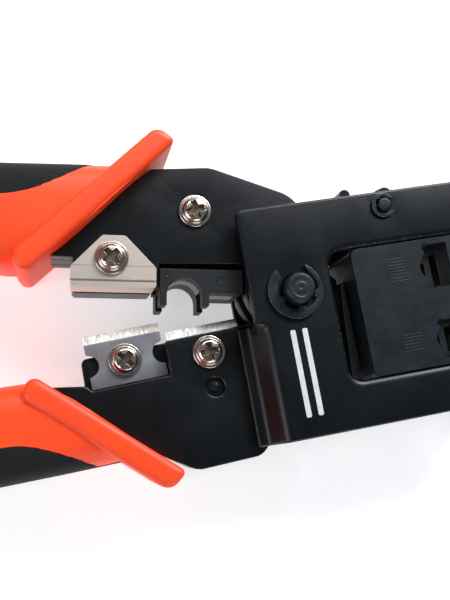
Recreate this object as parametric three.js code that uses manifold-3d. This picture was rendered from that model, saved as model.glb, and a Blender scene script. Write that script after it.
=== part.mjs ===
// Ratchet crimping tool for flat modular plugs, with a cutting and a stripping jaw.
// Millimetres. X runs to the nose, Y across the head, Z through the side plates.
// The pivot is on the Z axis and the flat rear face of the pivot pin lies on Z = 0.
import * as THREE from 'three';
import { mergeVertices } from 'three/addons/utils/BufferGeometryUtils.js';
import Module from 'manifold-3d';

const wasm = await Module();
wasm.setup();

// Clearances
const gap = 0.3;
const slip = 0.15;

// Layers, measured from the middle plane of the tool
const headHalf = 13.2;
const plateThick = 2.5;
const headInner = headHalf - plateThick;
const armHalf = 7.7;
const coreHalf = 2.8;
const lowHalf = 4.3;
const bladeHalf = 0.5;
const layerLow = armHalf + 0.4;
const layerHigh = headInner - 0.4;
const pinHeadThick = 1.5;
const midHeight = headHalf + pinHeadThick;

// Jaw lines of the two arms when the tool is open, degrees about the pivot
const upperTilt = -10.2;
const lowerTilt = 2;

// Head plates
const headTop = 22.9;
const headBottom = -37.7;
const headLeft = -12.2;
const headNose = 62;
const lipLeft = -16;
const lipTop = -6.6;
const lipOuter = lowHalf + gap + plateThick;
const rampFoot = -13;
const rampHead = -9;

// Window and die block
const windowLeft = 9.8;
const windowRight = 54;
const windowTop = 8.6;
const windowBottom = -25.8;
const windowRadius = 3.6;
const blockLeft = 16.3;
const blockRight = 46.6;
const blockHalf = headHalf - 0.3;
const blockTop = windowTop - gap;
const blockBottom = windowBottom + gap;
const railReach = 1.9;
const cavityLeft = 36.7;
const cavityRight = 43.4;
const wideY = 0.8;
const wideHalf = 5.9;
const narrowY = -18.7;
const narrowHalf = 4.85;
const contactPitch = 1.02;
const contactThick = 0.55;

// Punches, fixed to the nose
const punchBack = 54.4;
const punchFace = 51.9;
const punchTip = 47;
const combLow = 1.2;
const combHigh = 4.6;
const strainLow = -5.6;
const strainHigh = -3.4;

// Pins
const pivotRadius = 4;
const pivotEnd = headHalf + 4.4;
const pawlX = 27.9;
const pawlY = 18.8;
const pawlRadius = 1.75;
const nosePinX = 57.2;
const nosePinRadius = 2.4;
const hubRadius = 9;

// Cam
const camX = blockLeft - 4.8;
const camY = -21;
const camRadius = blockLeft - gap - camX;
const camHalf = 5;

// Springs: the return spring hangs between two posts, the pawl spring between the pawl and a post
const springArmX = 3.2;
const springArmY = -22.5;
const springPostX = -4.5;
const springPostY = -33.5;
const postRadius = 1.3;
const pawlPostX = 46;
const pawlPostY = pawlY - 1.5;
const pawlPostRadius = 0.9;

// Ratchet
const toothTip = 26;
const toothDepth = 1.1;
const toothCount = 10;
const toothStart = THREE.MathUtils.radToDeg(Math.asin((windowTop + 1.13) / (toothTip - toothDepth))) + 1.5;
const toothEnd = toothStart + 19;

// Cutting and stripping jaws, in the frames of the two arms
const guideLeft = -34.8;
const guideRight = -13.1;
const guideTop = 5.7;
const guideFoot = -0.3;
const prongFoot = -3.85;
const prongEnd = -22;
const notchX = -28.3;
const notchY = -1.1;
const notchRadius = 4.67;
const guideFront = 8.2;
const guideRear = -9.6;
const holderLeft = -57.4;
const holderRight = -35.8;
const holderFoot = 0.35;
const holderShoulder = 5.5;
const holderTop = 13.7;
const holderHalf = 9.2;
const holderSlot = 0.9;
const holderGroove = 1.6;
const holderLine = 5.6;
const armFoot = 8.1;
const armHeel = 4.4;
const cutterLeft = -55.25;
const cutterRight = -35.3;
const cutterEdge = 0.2;
const cutterFoot = -13.8;
const stripEdge = -2.75;
const stripLeft = -33.9;
const stripRight = -14.4;
const lowEdge = -5.4;
const recessFoot = -14.2;

// Screws and rivet: places in the frames of the two arms
const screwHead = 4.3;
const screwRadius = 2;
const nutHeight = 2.7;
const boreRadius = screwRadius + 0.25;
const armScrewX = -25.7;
const armScrewY = 21.2;
const saddleScrewX = -47.2;
const saddleScrewY = 7.8;
const cutterScrewX = -45.6;
const cutterScrewY = -7.8;
const stripScrewX = -24.3;
const stripScrewY = -10.4;
const rivetX = -24.4;
const rivetY = -19.6;
const rivetRadius = 1.4;

// Grips: collar line in the frame of the upper arm
const collarX = -49.97;
const collarY = 20.37;
const collarAngle = 43.9;
const collarThick = 6.2;
const collarHalf = 14.1;
const gripHalf = 12.7;
const lowerShift = -6;

const finish = {
  blackPlate: [0x23292b, 0.45, 0.8],
  blackBlock: [0x2b3137, 0.5, 0.7],
  darkPin: [0x1c1f21, 0.35, 0.8],
  nickel: [0xc9c4bb, 0.3, 1],
  blade: [0x9a9a9c, 0.3, 1],
  steel: [0x8d9193, 0.35, 1],
  brass: [0xb08d3c, 0.35, 1],
  blackPlastic: [0x20262a, 0.6, 0],
  orangeGrip: [0xff5a28, 0.6, 0],
  blackGrip: [0x181c20, 0.75, 0],
};

// Scene graph: the head, and the two arms turned about the pivot to their open positions
const tool = new THREE.Group();
tool.name = 'crimping_tool';
const head = new THREE.Group();
head.position.z = midHeight;
tool.add(head);
const movingArm = new THREE.Group();
movingArm.rotation.z = THREE.MathUtils.degToRad(upperTilt);
head.add(movingArm);
const fixedArm = new THREE.Group();
fixedArm.rotation.z = THREE.MathUtils.degToRad(lowerTilt);
head.add(fixedArm);

// A closed shape whose corners [x, y, blend] are rounded by an arc that starts blend before the corner
function rounded(corners) {
  const shape = new THREE.Shape();
  const points = corners.map(([x, y]) => new THREE.Vector2(x, y));
  const count = corners.length;
  points.forEach((corner, index) => {
    const blend = corners[index][2] ?? 0;
    const back = points[(index + count - 1) % count].clone().sub(corner).normalize();
    const ahead = points[(index + 1) % count].clone().sub(corner).normalize();
    const half = Math.acos(back.dot(ahead)) / 2;
    const start = corner.clone().addScaledVector(back, blend);
    if (index === 0) shape.moveTo(start.x, start.y);
    else shape.lineTo(start.x, start.y);
    if (blend > 0 && half < 1.56) {
      const centre = back.clone().add(ahead).normalize().multiplyScalar(blend / Math.cos(half)).add(corner);
      const end = corner.clone().addScaledVector(ahead, blend);
      const first = start.sub(centre).angle();
      const last = end.sub(centre).angle();
      shape.absarc(centre.x, centre.y, blend * Math.tan(half), first, last, back.cross(ahead) > 0);
    }
  });
  shape.closePath();
  return shape;
}

function solidOf(geometry) {
  geometry.deleteAttribute('normal');
  geometry.deleteAttribute('uv');
  const merged = mergeVertices(geometry, 1e-5);
  const mesh = new wasm.Mesh({
    numProp: 3,
    vertProperties: new Float32Array(merged.attributes.position.array),
    triVerts: new Uint32Array(merged.index.array),
  });
  return new wasm.Manifold(mesh);
}

function prism(shape, low, high, curveSegments = 4) {
  const options = { depth: high - low, bevelEnabled: false, curveSegments };
  const geometry = new THREE.ExtrudeGeometry(shape, options);
  geometry.translate(0, 0, low);
  return solidOf(geometry);
}

function rod(x, y, radius, low, high, sides = 20) {
  const geometry = new THREE.CylinderGeometry(radius, radius, high - low, sides);
  geometry.rotateX(Math.PI / 2);
  geometry.translate(x, y, (low + high) / 2);
  return solidOf(geometry);
}

function box(left, right, bottom, top, low, high) {
  const geometry = new THREE.BoxGeometry(right - left, top - bottom, high - low);
  geometry.translate((left + right) / 2, (bottom + top) / 2, (low + high) / 2);
  return solidOf(geometry);
}

// A turned piece about a line parallel to Z; the profile lists [radius, z] from axis to axis
function turned(x, y, profile, sides = 20) {
  const points = profile.map(([radius, z]) => new THREE.Vector2(radius, z));
  const geometry = new THREE.LatheGeometry(points, sides);
  geometry.rotateX(Math.PI / 2);
  geometry.translate(x, y, 0);
  return solidOf(geometry);
}

function join(first, ...others) {
  return others.reduce((sum, item) => sum.add(item), first);
}

function cut(first, ...others) {
  return others.reduce((rest, item) => rest.subtract(item), first);
}

function add(name, solid, look, group = head) {
  const mesh = solid.getMesh();
  const geometry = new THREE.BufferGeometry();
  geometry.setAttribute('position', new THREE.BufferAttribute(new Float32Array(mesh.vertProperties), 3));
  geometry.setIndex(new THREE.BufferAttribute(new Uint32Array(mesh.triVerts), 1));
  geometry.computeVertexNormals();
  const [color, roughness, metalness] = finish[look];
  const part = new THREE.Mesh(geometry, new THREE.MeshStandardMaterial({ color, roughness, metalness }));
  part.name = name;
  group.add(part);
}

// Head: two side plates with a window, each stepped down to a lip over the fixed arm
function sidePlate(side) {
  const face = rounded([
    [headLeft, lipTop, 0],
    [rampHead, lipTop, 0],
    [rampHead, headBottom, 0],
    [headNose, headBottom, 7],
    [headNose, headTop, 7],
    [headLeft, headTop, 1.6],
  ]);
  const slope = (headHalf - lipOuter) / (rampHead - rampFoot);
  const shift = plateThick * Math.hypot(1, slope) / slope - plateThick / slope;
  const lipInner = lipOuter - plateThick;
  const stepped = new THREE.Shape();
  stepped.moveTo(lipLeft, lipInner);
  stepped.lineTo(rampFoot + shift, lipInner);
  stepped.lineTo(rampHead + shift, headInner);
  stepped.lineTo(rampHead + shift + 1, headInner);
  stepped.lineTo(rampHead + shift + 1, headHalf);
  stepped.lineTo(rampHead, headHalf);
  stepped.lineTo(rampFoot, lipOuter);
  stepped.lineTo(lipLeft, lipOuter);
  stepped.closePath();
  const strip = new THREE.ExtrudeGeometry(stepped, { depth: lipTop - headBottom, bevelEnabled: false });
  strip.rotateX(Math.PI / 2);
  strip.translate(0, lipTop, 0);
  const opening = rounded([
    [windowLeft, windowBottom, windowRadius],
    [windowRight, windowBottom, windowRadius],
    [windowRight, windowTop, windowRadius],
    [windowLeft, windowTop, windowRadius],
  ]);
  const low = side > 0 ? headInner : -headHalf;
  const lipSolid = side > 0 ? solidOf(strip) : solidOf(turnedOver(strip));
  const holes = [
    prism(opening, low - 1, low + plateThick + 1),
    rod(0, 0, pivotRadius + gap, low - 1, low + plateThick + 1, 28),
    rod(pawlX, pawlY, pawlRadius + slip, low - 1, low + plateThick + 1),
    rod(nosePinX, nosePinTop(), nosePinRadius + slip, low - 1, low + plateThick + 1),
    rod(nosePinX, nosePinBottom(), nosePinRadius + slip, low - 1, low + plateThick + 1),
  ];
  return cut(join(prism(face, low, low + plateThick), lipSolid), ...holes);
}

// The same strip mirrored in the middle plane, with its triangles turned to face out again
function turnedOver(geometry) {
  const copy = geometry.clone();
  copy.scale(1, 1, -1);
  const index = copy.index ? copy.index.array : null;
  const position = copy.attributes.position;
  if (index) {
    for (let i = 0; i < index.length; i += 3) [index[i], index[i + 1]] = [index[i + 1], index[i]];
    return copy;
  }
  for (let i = 0; i < position.count; i += 3) {
    const first = new THREE.Vector3().fromBufferAttribute(position, i);
    const second = new THREE.Vector3().fromBufferAttribute(position, i + 1);
    position.setXYZ(i, second.x, second.y, second.z);
    position.setXYZ(i + 1, first.x, first.y, first.z);
  }
  return copy;
}

function nosePinTop() {
  return headTop - 6;
}

function nosePinBottom() {
  return headBottom + 6;
}

add('front_side_plate', sidePlate(1), 'blackPlate');
add('rear_side_plate', cut(
  sidePlate(-1),
  rod(springPostX, springPostY, postRadius + slip, -headHalf - 1, -headInner + 1),
  rod(pawlPostX, pawlPostY, pawlPostRadius + slip, -headHalf - 1, -headInner + 1),
), 'blackPlate');

// Pivot pin with a flat rear head, a chamfered end and a retaining clip
add('pivot_pin', turned(0, 0, [
  [0, -midHeight],
  [6.4, -midHeight],
  [6.4, -headHalf - 0.1],
  [pivotRadius, -headHalf - 0.1],
  [pivotRadius, pivotEnd - 0.8],
  [pivotRadius - 0.7, pivotEnd],
  [0, pivotEnd],
], 28), 'darkPin');

// Open retaining clip: a ring with an opening towards the angle facing, with three inner lugs
function openClip(x, y, outer, bore, facing, halfOpening, low, high) {
  const shape = new THREE.Shape();
  const first = THREE.MathUtils.degToRad(facing + halfOpening);
  const last = THREE.MathUtils.degToRad(facing + 360 - halfOpening);
  const ring = bore + (outer - bore) * 0.3;
  shape.absarc(0, 0, outer, first, last, false);
  shape.absarc(0, 0, ring, last, first, true);
  shape.closePath();
  let clip = prism(shape, low, high, 12);
  for (const turn of [110, 180, 250]) {
    const angle = THREE.MathUtils.degToRad(facing + turn);
    const half = outer * 0.11;
    const lug = new THREE.BoxGeometry(ring - bore + 0.6, half * 2, high - low);
    lug.translate((ring + bore + 0.6) / 2, 0, (low + high) / 2);
    lug.rotateZ(angle);
    clip = join(clip, solidOf(lug));
  }
  const bored = cut(clip, rod(0, 0, bore, low - 1, high + 1, 28));
  return bored.translate([x, y, 0]);
}

add('pivot_clip', openClip(
  0, 0, 7.3, pivotRadius + slip, 92, 44, headHalf + slip, headHalf + 1.1,
), 'darkPin');

// Washers between the moving arm and the rear plate
add('pivot_washer', cut(
  rod(0, 0, 7.5, -layerHigh, -layerLow, 32),
  rod(0, 0, pivotRadius + gap, -layerHigh - 1, -layerLow + 1, 28),
), 'steel');

// Pins through both plates at the nose, each riveted over on both sides
for (const [name, y] of [['nose_rivet_top', nosePinTop()], ['nose_rivet_bottom', nosePinBottom()]]) {
  const head = nosePinRadius * 1.6;
  add(name, turned(nosePinX, y, [
    [0, -headHalf - 1.2],
    [head * 0.8, -headHalf - 1.2],
    [head, -headHalf - 0.6],
    [head, -headHalf - 0.1],
    [nosePinRadius, -headHalf - 0.1],
    [nosePinRadius, headHalf + 0.1],
    [head, headHalf + 0.1],
    [head, headHalf + 0.6],
    [head * 0.8, headHalf + 1.2],
    [0, headHalf + 1.2],
  ], 24), 'darkPin');
}

// Pawl pin with its clip
add('pawl_pin', turned(pawlX, pawlY, [
  [0, -headHalf - 1.2],
  [3, -headHalf - 1.2],
  [3, -headHalf - 0.1],
  [pawlRadius, -headHalf - 0.1],
  [pawlRadius, headHalf + 1.5],
  [pawlRadius - 0.4, headHalf + 1.9],
  [0, headHalf + 1.9],
], 24), 'darkPin');
add('pawl_clip', openClip(
  pawlX, pawlY, 3.3, pawlRadius + slip, 0, 42, headHalf + slip, headHalf + 0.8,
), 'darkPin');

// Spring posts riveted into the rear plate
function rearPost(x, y, radius, top) {
  return turned(x, y, [
    [0, -headHalf - 0.9],
    [radius * 1.5, -headHalf - 0.9],
    [radius * 1.5, -headHalf - 0.1],
    [radius, -headHalf - 0.1],
    [radius, top],
    [0, top],
  ], 20);
}

add('return_spring_post', rearPost(springPostX, springPostY, postRadius, -lowHalf - gap), 'darkPin');
add('pawl_spring_post', rearPost(pawlPostX, pawlPostY, pawlPostRadius, layerHigh), 'darkPin');

// Punch carrier and punches at the nose end of the window
add('punch_carrier', box(
  punchBack + 0.2, nosePinX + 3.3, narrowY - 6, wideY + 7, -headInner + gap, headInner - gap,
), 'blackBlock');

function punchComb(centre, contacts) {
  const width = contactPitch * contacts;
  const reach = width / 2 + 1;
  let comb = box(punchFace, punchBack, centre - reach, centre + reach, combLow - 0.6, combHigh + 0.6);
  for (let i = 0; i < contacts; i += 1) {
    const y = centre + (i - (contacts - 1) / 2) * contactPitch;
    const half = contactThick / 2;
    comb = join(comb, box(punchTip, punchFace + 0.5, y - half, y + half, combLow, combHigh));
  }
  return comb;
}

function strainPunch(centre, half) {
  const reach = half + 1;
  const base = box(punchFace, punchBack, centre - reach, centre + reach, strainLow - 0.6, strainHigh + 0.6);
  return join(base, box(punchTip, punchFace + 0.5, centre - half, centre + half, strainLow, strainHigh));
}

add('contact_punch_wide', punchComb(wideY, 8), 'steel');
add('contact_punch_narrow', punchComb(narrowY, 6), 'steel');
add('strain_punch_wide', strainPunch(wideY, 3), 'steel');
add('strain_punch_narrow', strainPunch(narrowY, 2.4), 'steel');

// Die block: slides in the window on rails held between the plates
function plugCavity(centre, half) {
  const reach = blockHalf + 1;
  const latch = half * 0.58;
  return join(
    box(cavityLeft, cavityRight, centre - half, centre + half, -reach, reach),
    rod(cavityLeft + 2, centre, Math.hypot(latch, 2), -reach, reach),
    rod(cavityLeft + 0.6, centre - half + 0.7, 1.15, -reach, reach, 16),
    rod(cavityLeft + 0.6, centre + half - 0.7, 1.15, -reach, reach, 16),
  );
}

function punchSlots(centre, contacts, strainHalf) {
  const half = contactPitch * contacts / 2 + gap;
  return [
    box(cavityRight - 1, blockRight + 1, centre - half, centre + half, combLow - gap, combHigh + gap),
    box(cavityRight - 1, blockRight + 1, centre - strainHalf - gap, centre + strainHalf + gap,
      strainLow - gap, strainHigh + gap),
  ];
}

const blockShape = rounded([
  [blockLeft, blockBottom, 2.2],
  [blockRight, blockBottom, 1.5],
  [blockRight, blockTop, 1.5],
  [blockLeft, blockTop, 2.2],
]);
const railHalf = headInner - gap;
add('die_block', cut(
  join(
    prism(blockShape, -blockHalf, blockHalf),
    box(pawlX, blockRight - 0.6, blockTop - 3, windowTop + railReach, -railHalf, railHalf),
    box(blockLeft + 3, blockRight - 0.6, windowBottom - railReach, blockBottom + 3, -railHalf, railHalf),
  ),
  plugCavity(wideY, wideHalf),
  plugCavity(narrowY, narrowHalf),
  ...punchSlots(wideY, 8, 3),
  ...punchSlots(narrowY, 6, 2.4),
), 'blackBlock');

// Moving arm, drawn with its jaw line along X. A point of the head, seen from the turned arm:
function fromHead([x, y, blend = 0]) {
  const angle = THREE.MathUtils.degToRad(-upperTilt);
  const c = Math.cos(angle);
  const s = Math.sin(angle);
  return [x * c - y * s, x * s + y * c, blend];
}

// A point of the collar line: along the line, and behind it into the grip
function onCollar(along, behind, blend = 0) {
  const angle = THREE.MathUtils.degToRad(collarAngle);
  const c = Math.cos(angle);
  const s = Math.sin(angle);
  return [collarX + along * c - behind * s, collarY + along * s + behind * c, blend];
}

// The same outline, each side moved out by the clearance
function grown(corners, clearance) {
  const points = corners.map(([x, y]) => new THREE.Vector2(x, y));
  const count = corners.length;
  const area = THREE.ShapeUtils.area(points);
  return corners.map(([x, y, blend = 0], index) => {
    const before = points[index].clone().sub(points[(index + count - 1) % count]).normalize();
    const after = points[(index + 1) % count].clone().sub(points[index]).normalize();
    const outward = new THREE.Vector2(before.y + after.y, -before.x - after.x);
    const reach = clearance * Math.sign(area) * 2 / outward.lengthSq();
    return [x + outward.x * reach, y + outward.y * reach, blend];
  });
}

const tangHalf = 11.5;
const tang = [
  onCollar(-tangHalf, -gap),
  [-66, 12, 3],
  [-96, 15.5, 2],
  [-96, 24, 2],
  [-56, 28.6, 3],
  onCollar(tangHalf, -gap),
];

// Underside of the arm from the cable guide to its foot left of the saddle
const armHeelLine = [
  [guideLeft - 0.1, 0.6, 0],
  [holderRight + 0.2, 0.6, 0],
  [holderRight + 0.2, armHeel, 0],
  [holderLeft + 0.6, armHeel, 0],
  [holderLeft + 0.6, armFoot, 0],
];

function armBores(low, high) {
  return [
    rod(armScrewX, armScrewY, boreRadius, low, high, 20),
    rod(saddleScrewX, saddleScrewY, boreRadius, low, high, 20),
  ];
}

function armPlate(low, high) {
  const outline = rounded([
    onCollar(-17.3, -gap),
    ...tang,
    onCollar(17.3, -gap),
    [-21.6, 33.4, 4],
    [0.2, 26.8, 5],
    [hubRadius, 16, 6],
    [hubRadius, -hubRadius, hubRadius * 0.85],
    [-hubRadius, -hubRadius, hubRadius * 0.85],
    [guideRight + 0.7, -0.6, 1.2],
    [guideRight + 0.7, guideTop + 1.9, 0.6],
    [guideLeft - 0.1, guideTop + 1.3, 0.6],
    ...armHeelLine,
  ].reverse());
  return cut(
    prism(outline, low, high),
    rod(0, 0, pivotRadius + slip, low - 1, high + 1, 28),
    ...armBores(low - 1, high + 1),
  );
}

add('upper_arm_front', armPlate(coreHalf + gap, armHalf), 'blackPlate', movingArm);
add('upper_arm_rear', armPlate(-armHalf, -coreHalf - gap), 'blackPlate', movingArm);

// Cam lever: the core plate of the moving arm, from the arm through the hub down to the cam
const shoeLeft = [
  [blockLeft - 1.5, 1.4],
  [blockLeft - 2.9, -14.7],
  [blockLeft - 3.7, -25.3],
];
const [springPinX, springPinY] = fromHead([springArmX, springArmY]);
add('cam_lever', cut(
  join(
    prism(rounded([
      onCollar(-17.3, -gap),
      onCollar(-8, -gap),
      onCollar(-8, 2),
      onCollar(8, 2),
      onCollar(8, -gap),
      onCollar(15, -gap),
      [-22, 32, 3],
      [-1, 26, 4],
      fromHead([hubRadius, 8, 4]),
      fromHead([shoeLeft[0][0] - slip, shoeLeft[0][1] + 1, 0.5]),
      fromHead([shoeLeft[1][0] - slip, shoeLeft[1][1], 3]),
      fromHead([shoeLeft[2][0] - slip, shoeLeft[2][1] + 0.4, 0.5]),
      fromHead([7, -26, 2]),
      fromHead([-1, -23, 3]),
      fromHead([-hubRadius + 1, -hubRadius + 1, 5]),
      [guideRight + gap, 3, 0],
      [guideRight + gap, guideTop + gap, 0],
      [guideLeft - 0.1, guideTop + gap, 0],
      [guideLeft - 0.1, armHeel, 0],
      ...armHeelLine.slice(3),
    ].reverse()), -coreHalf, coreHalf),
    rod(springPinX, springPinY, postRadius, -layerHigh, -coreHalf + 0.5, 20),
  ),
  rod(0, 0, pivotRadius + slip, -coreHalf - 1, coreHalf + 1, 28),
  ...armBores(-coreHalf - 1, coreHalf + 1),
), 'blackPlate', movingArm);

const shoeShape = new THREE.Shape();
shoeShape.moveTo(...shoeLeft[0]);
shoeShape.quadraticCurveTo(shoeLeft[1][0] + 0.2, shoeLeft[1][1] + 6, ...shoeLeft[1]);
shoeShape.lineTo(...shoeLeft[2]);
shoeShape.lineTo(camX + camRadius * 0.5, camY - camRadius * 0.866);
shoeShape.absarc(camX, camY, camRadius, -Math.PI / 3, 0, false);
shoeShape.lineTo(camX + camRadius, 1.8);
shoeShape.closePath();
add('cam_shoe', prism(shoeShape, -camHalf, camHalf, 5), 'steel');

// Toothed ratchet sector, beside the front arm plate on the pivot pin
function ratchetSector() {
  const shape = new THREE.Shape();
  const polar = (radius, degrees) => {
    const angle = THREE.MathUtils.degToRad(degrees);
    return [radius * Math.cos(angle), radius * Math.sin(angle)];
  };
  shape.moveTo(...polar(8, 75));
  shape.absarc(0, 0, 8, THREE.MathUtils.degToRad(75), THREE.MathUtils.degToRad(360 + 48), false);
  shape.lineTo(windowLeft - 0.6, windowTop + 0.7);
  shape.lineTo(...polar(toothTip - toothDepth, toothStart - 1.5));
  const step = (toothEnd - toothStart) / toothCount;
  for (let i = 0; i < toothCount; i += 1) {
    shape.lineTo(...polar(toothTip - toothDepth, toothStart + i * step));
    shape.lineTo(...polar(toothTip, toothStart + (i + 0.5) * step));
  }
  shape.lineTo(...polar(toothTip - toothDepth, toothEnd));
  shape.lineTo(...polar(toothTip - 6, toothEnd + 3));
  shape.closePath();
  return cut(
    prism(shape, layerLow, layerHigh, 12),
    rod(0, 0, pivotRadius + gap, layerLow - 1, layerHigh + 1, 28),
  );
}

add('ratchet_sector', ratchetSector(), 'steel');

// Pawl and release lever, turning together on the pawl pin
const tipReach = Math.hypot(pawlX, pawlY) - toothTip - 0.35;
const toPivot = Math.atan2(-pawlY, -pawlX);
const pawlTip = [pawlX + tipReach * Math.cos(toPivot), pawlY + tipReach * Math.sin(toPivot)];
add('pawl', cut(
  join(
    rod(pawlX, pawlY, 3.6, layerLow, layerHigh),
    prism(rounded([
      [pawlX - 1.6, pawlY + 3.2],
      [pawlTip[0], pawlTip[1]],
      [pawlX + 1.8, pawlY - 3.1],
    ]), layerLow, layerHigh),
    prism(rounded([
      [pawlX + 1, pawlY - 3.2],
      [pawlX + 7.2, pawlY - 2.6, 0.6],
      [pawlX + 7.2, pawlY + 0.2, 0.6],
      [pawlX + 1, pawlY + 3],
    ]), layerLow, layerHigh),
  ),
  rod(pawlX, pawlY, pawlRadius + slip, layerLow - 1, layerHigh + 1),
  rod(pawlX + 5.8, pawlY - 1.3, 0.7, layerLow - 1, layerHigh + 1, 12),
), 'steel');

add('release_lever', cut(
  join(
    rod(pawlX, pawlY, 3.4, -armHalf, armHalf),
    prism(rounded([
      [pawlX - 2.4, pawlY + 1.4],
      [pawlX + 3.2, pawlY + 0.6],
      [pawlX + 6.2, headTop + 0.6, 1.2],
      [pawlX + 4.4, headTop + 2.5, 1.2],
      [pawlX + 1.4, headTop + 1.6, 0.8],
      [pawlX - 3, headTop - 0.6, 1.5],
      [pawlX - 6.2, headTop - 0.6, 0.8],
      [pawlX - 6.2, headTop + 3, 1.4],
      [pawlX - 9.2, headTop + 3, 1.4],
      [pawlX - 9.4, headTop - 2.2, 1.2],
    ].reverse()), -armHalf, armHalf),
  ),
  rod(pawlX, pawlY, pawlRadius + slip, -armHalf - 1, armHalf + 1),
), 'blackPlate');

// Coil springs, wound along the straight line between two points
class Coil extends THREE.Curve {
  constructor(from, to, radius, turns) {
    super();
    this.from = from;
    this.axis = new THREE.Vector3().subVectors(to, from);
    this.side = new THREE.Vector3(0, 0, 1);
    this.across = new THREE.Vector3().crossVectors(this.side, this.axis).normalize();
    this.radius = radius;
    this.turns = turns;
  }

  getPoint(t, target = new THREE.Vector3()) {
    const angle = t * this.turns * Math.PI * 2;
    target.copy(this.from).addScaledVector(this.axis, t);
    target.addScaledVector(this.side, this.radius * Math.cos(angle));
    return target.addScaledVector(this.across, this.radius * Math.sin(angle));
  }
}

function coilSpring(from, to, radius, wire, turns) {
  const section = new THREE.Shape();
  section.absarc(0, 0, wire, 0, Math.PI * 2, false);
  const path = new Coil(new THREE.Vector3(...from), new THREE.Vector3(...to), radius, turns);
  const options = { steps: turns * 8, extrudePath: path, bevelEnabled: false, curveSegments: 2 };
  return solidOf(new THREE.ExtrudeGeometry(section, options));
}

const springLevel = -(layerLow + layerHigh) / 2;
const run = new THREE.Vector2(springPostX - springArmX, springPostY - springArmY).normalize();
const clear = postRadius + 0.6;
add('return_spring', coilSpring(
  [springArmX + run.x * clear, springArmY + run.y * clear, springLevel],
  [springPostX - run.x * clear, springPostY - run.y * clear, springLevel],
  0.85, 0.22, 7,
), 'steel');
add('pawl_spring', coilSpring(
  [pawlX + 7.8, pawlY - 1.4, -springLevel],
  [pawlPostX - pawlPostRadius - 0.4, pawlPostY, -springLevel],
  0.75, 0.18, 7,
), 'steel');

// Anvil plate in the middle layer, with a half-round seat for a round cable
const anvilShape = new THREE.Shape();
const seatAngle = Math.asin((0.6 - notchY) / notchRadius);
anvilShape.moveTo(guideRight - 1.4, guideFoot);
anvilShape.lineTo(guideRight - 1.4, guideTop - 0.3);
anvilShape.lineTo(guideLeft + 1.5, guideTop - 0.3);
anvilShape.lineTo(guideLeft + 1.5, 1.8);
anvilShape.lineTo(notchX - notchRadius * Math.cos(seatAngle), 0.6);
anvilShape.absarc(notchX, notchY, notchRadius, Math.PI - seatAngle, seatAngle, true);
anvilShape.lineTo(prongEnd, 0.6);
anvilShape.lineTo(prongEnd + 0.2, guideFoot);
anvilShape.closePath();
add('anvil_plate', prism(anvilShape, -coreHalf, coreHalf, 10), 'nickel', movingArm);

// Cable guide: two walls around the anvil, tied together at both ends
const guideShape = new THREE.Shape();
guideShape.moveTo(guideLeft, guideTop);
guideShape.lineTo(guideLeft, prongFoot);
guideShape.lineTo(notchX - notchRadius, prongFoot);
guideShape.lineTo(notchX - notchRadius, notchY);
guideShape.absarc(notchX, notchY, notchRadius, Math.PI, 0, true);
guideShape.lineTo(notchX + notchRadius, prongFoot);
guideShape.lineTo(prongEnd, prongFoot);
guideShape.lineTo(prongEnd, guideFoot);
guideShape.lineTo(guideRight, guideFoot);
guideShape.lineTo(guideRight, guideTop);
guideShape.closePath();
const slotHalf = coreHalf + gap;
add('cable_guide', cut(
  prism(guideShape, guideRear, guideFront, 10),
  box(guideLeft + 1.2, guideRight - 1.1, prongFoot - 1, guideTop + 1, -slotHalf, slotHalf),
  box(guideLeft - 1, guideLeft + 2, prongFoot - 1, 0.2, -slotHalf, slotHalf),
), 'blackPlastic', movingArm);

// Cutting saddle and its backing bar, one on each side of the arm; the cutter blade passes between them
const holderMid = (holderLeft + holderRight) / 2;
function holderShape(inset) {
  return rounded([
    [holderLeft + inset, holderFoot, 0.6 + inset],
    [holderRight - inset * 0.4, holderFoot, 0.6 + inset],
    [holderRight - inset * 0.4, holderShoulder, 0.4],
    [holderMid + 2.9, holderTop - inset, 0.5],
    [holderMid - 2.9, holderTop - inset, 0.5],
    [holderLeft + inset, holderShoulder, 0.4],
  ]);
}

function holderCuts(low, high, armLow, armHigh) {
  return [
    box(holderLeft - 1, holderRight + 1, armHeel - 0.2, holderTop + 1, armLow, armHigh),
    rod(saddleScrewX, saddleScrewY, boreRadius, low - 1, high + 1, 20),
  ];
}

add('cutting_saddle', cut(
  prism(holderShape(0), holderSlot, holderHalf),
  ...holderCuts(holderSlot, holderHalf, 0, armHalf + slip),
  box(holderLeft - 1, holderRight + 1, holderGroove, holderGroove + 0.7, holderHalf - 0.5, holderHalf + 1),
  box(holderLeft - 1, holderRight + 1, holderLine, holderLine + 0.2, holderHalf - 0.12, holderHalf + 1),
), 'nickel', movingArm);
add('backing_bar', cut(
  prism(holderShape(0.5), -holderHalf, -holderSlot),
  ...holderCuts(-holderHalf, -holderSlot, -armHalf - slip, 0),
), 'blackPlate', movingArm);

// Pan-head screws with a cross recess and their nuts
function crossScrew(x, y, seat, end) {
  const body = turned(x, y, [
    [0, end],
    [screwRadius, end],
    [screwRadius, seat + 0.1],
    [screwHead, seat + 0.1],
    [screwHead, seat + 0.8],
    [screwHead - 0.7, seat + 1.4],
    [screwHead - 1.6, seat + 2.2],
    [1.2, seat + 2.6],
    [0, seat + 2.6],
  ], 24);
  return cut(
    body,
    box(x - 2.4, x + 2.4, y - 0.55, y + 0.55, seat + 1.2, seat + 3),
    box(x - 0.55, x + 0.55, y - 2.4, y + 2.4, seat + 1.2, seat + 3),
  );
}

function hexNut(x, y, low, high) {
  return cut(rod(x, y, 3.9, low, high, 6), rod(x, y, boreRadius, low - 1, high + 1, 20));
}

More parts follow.
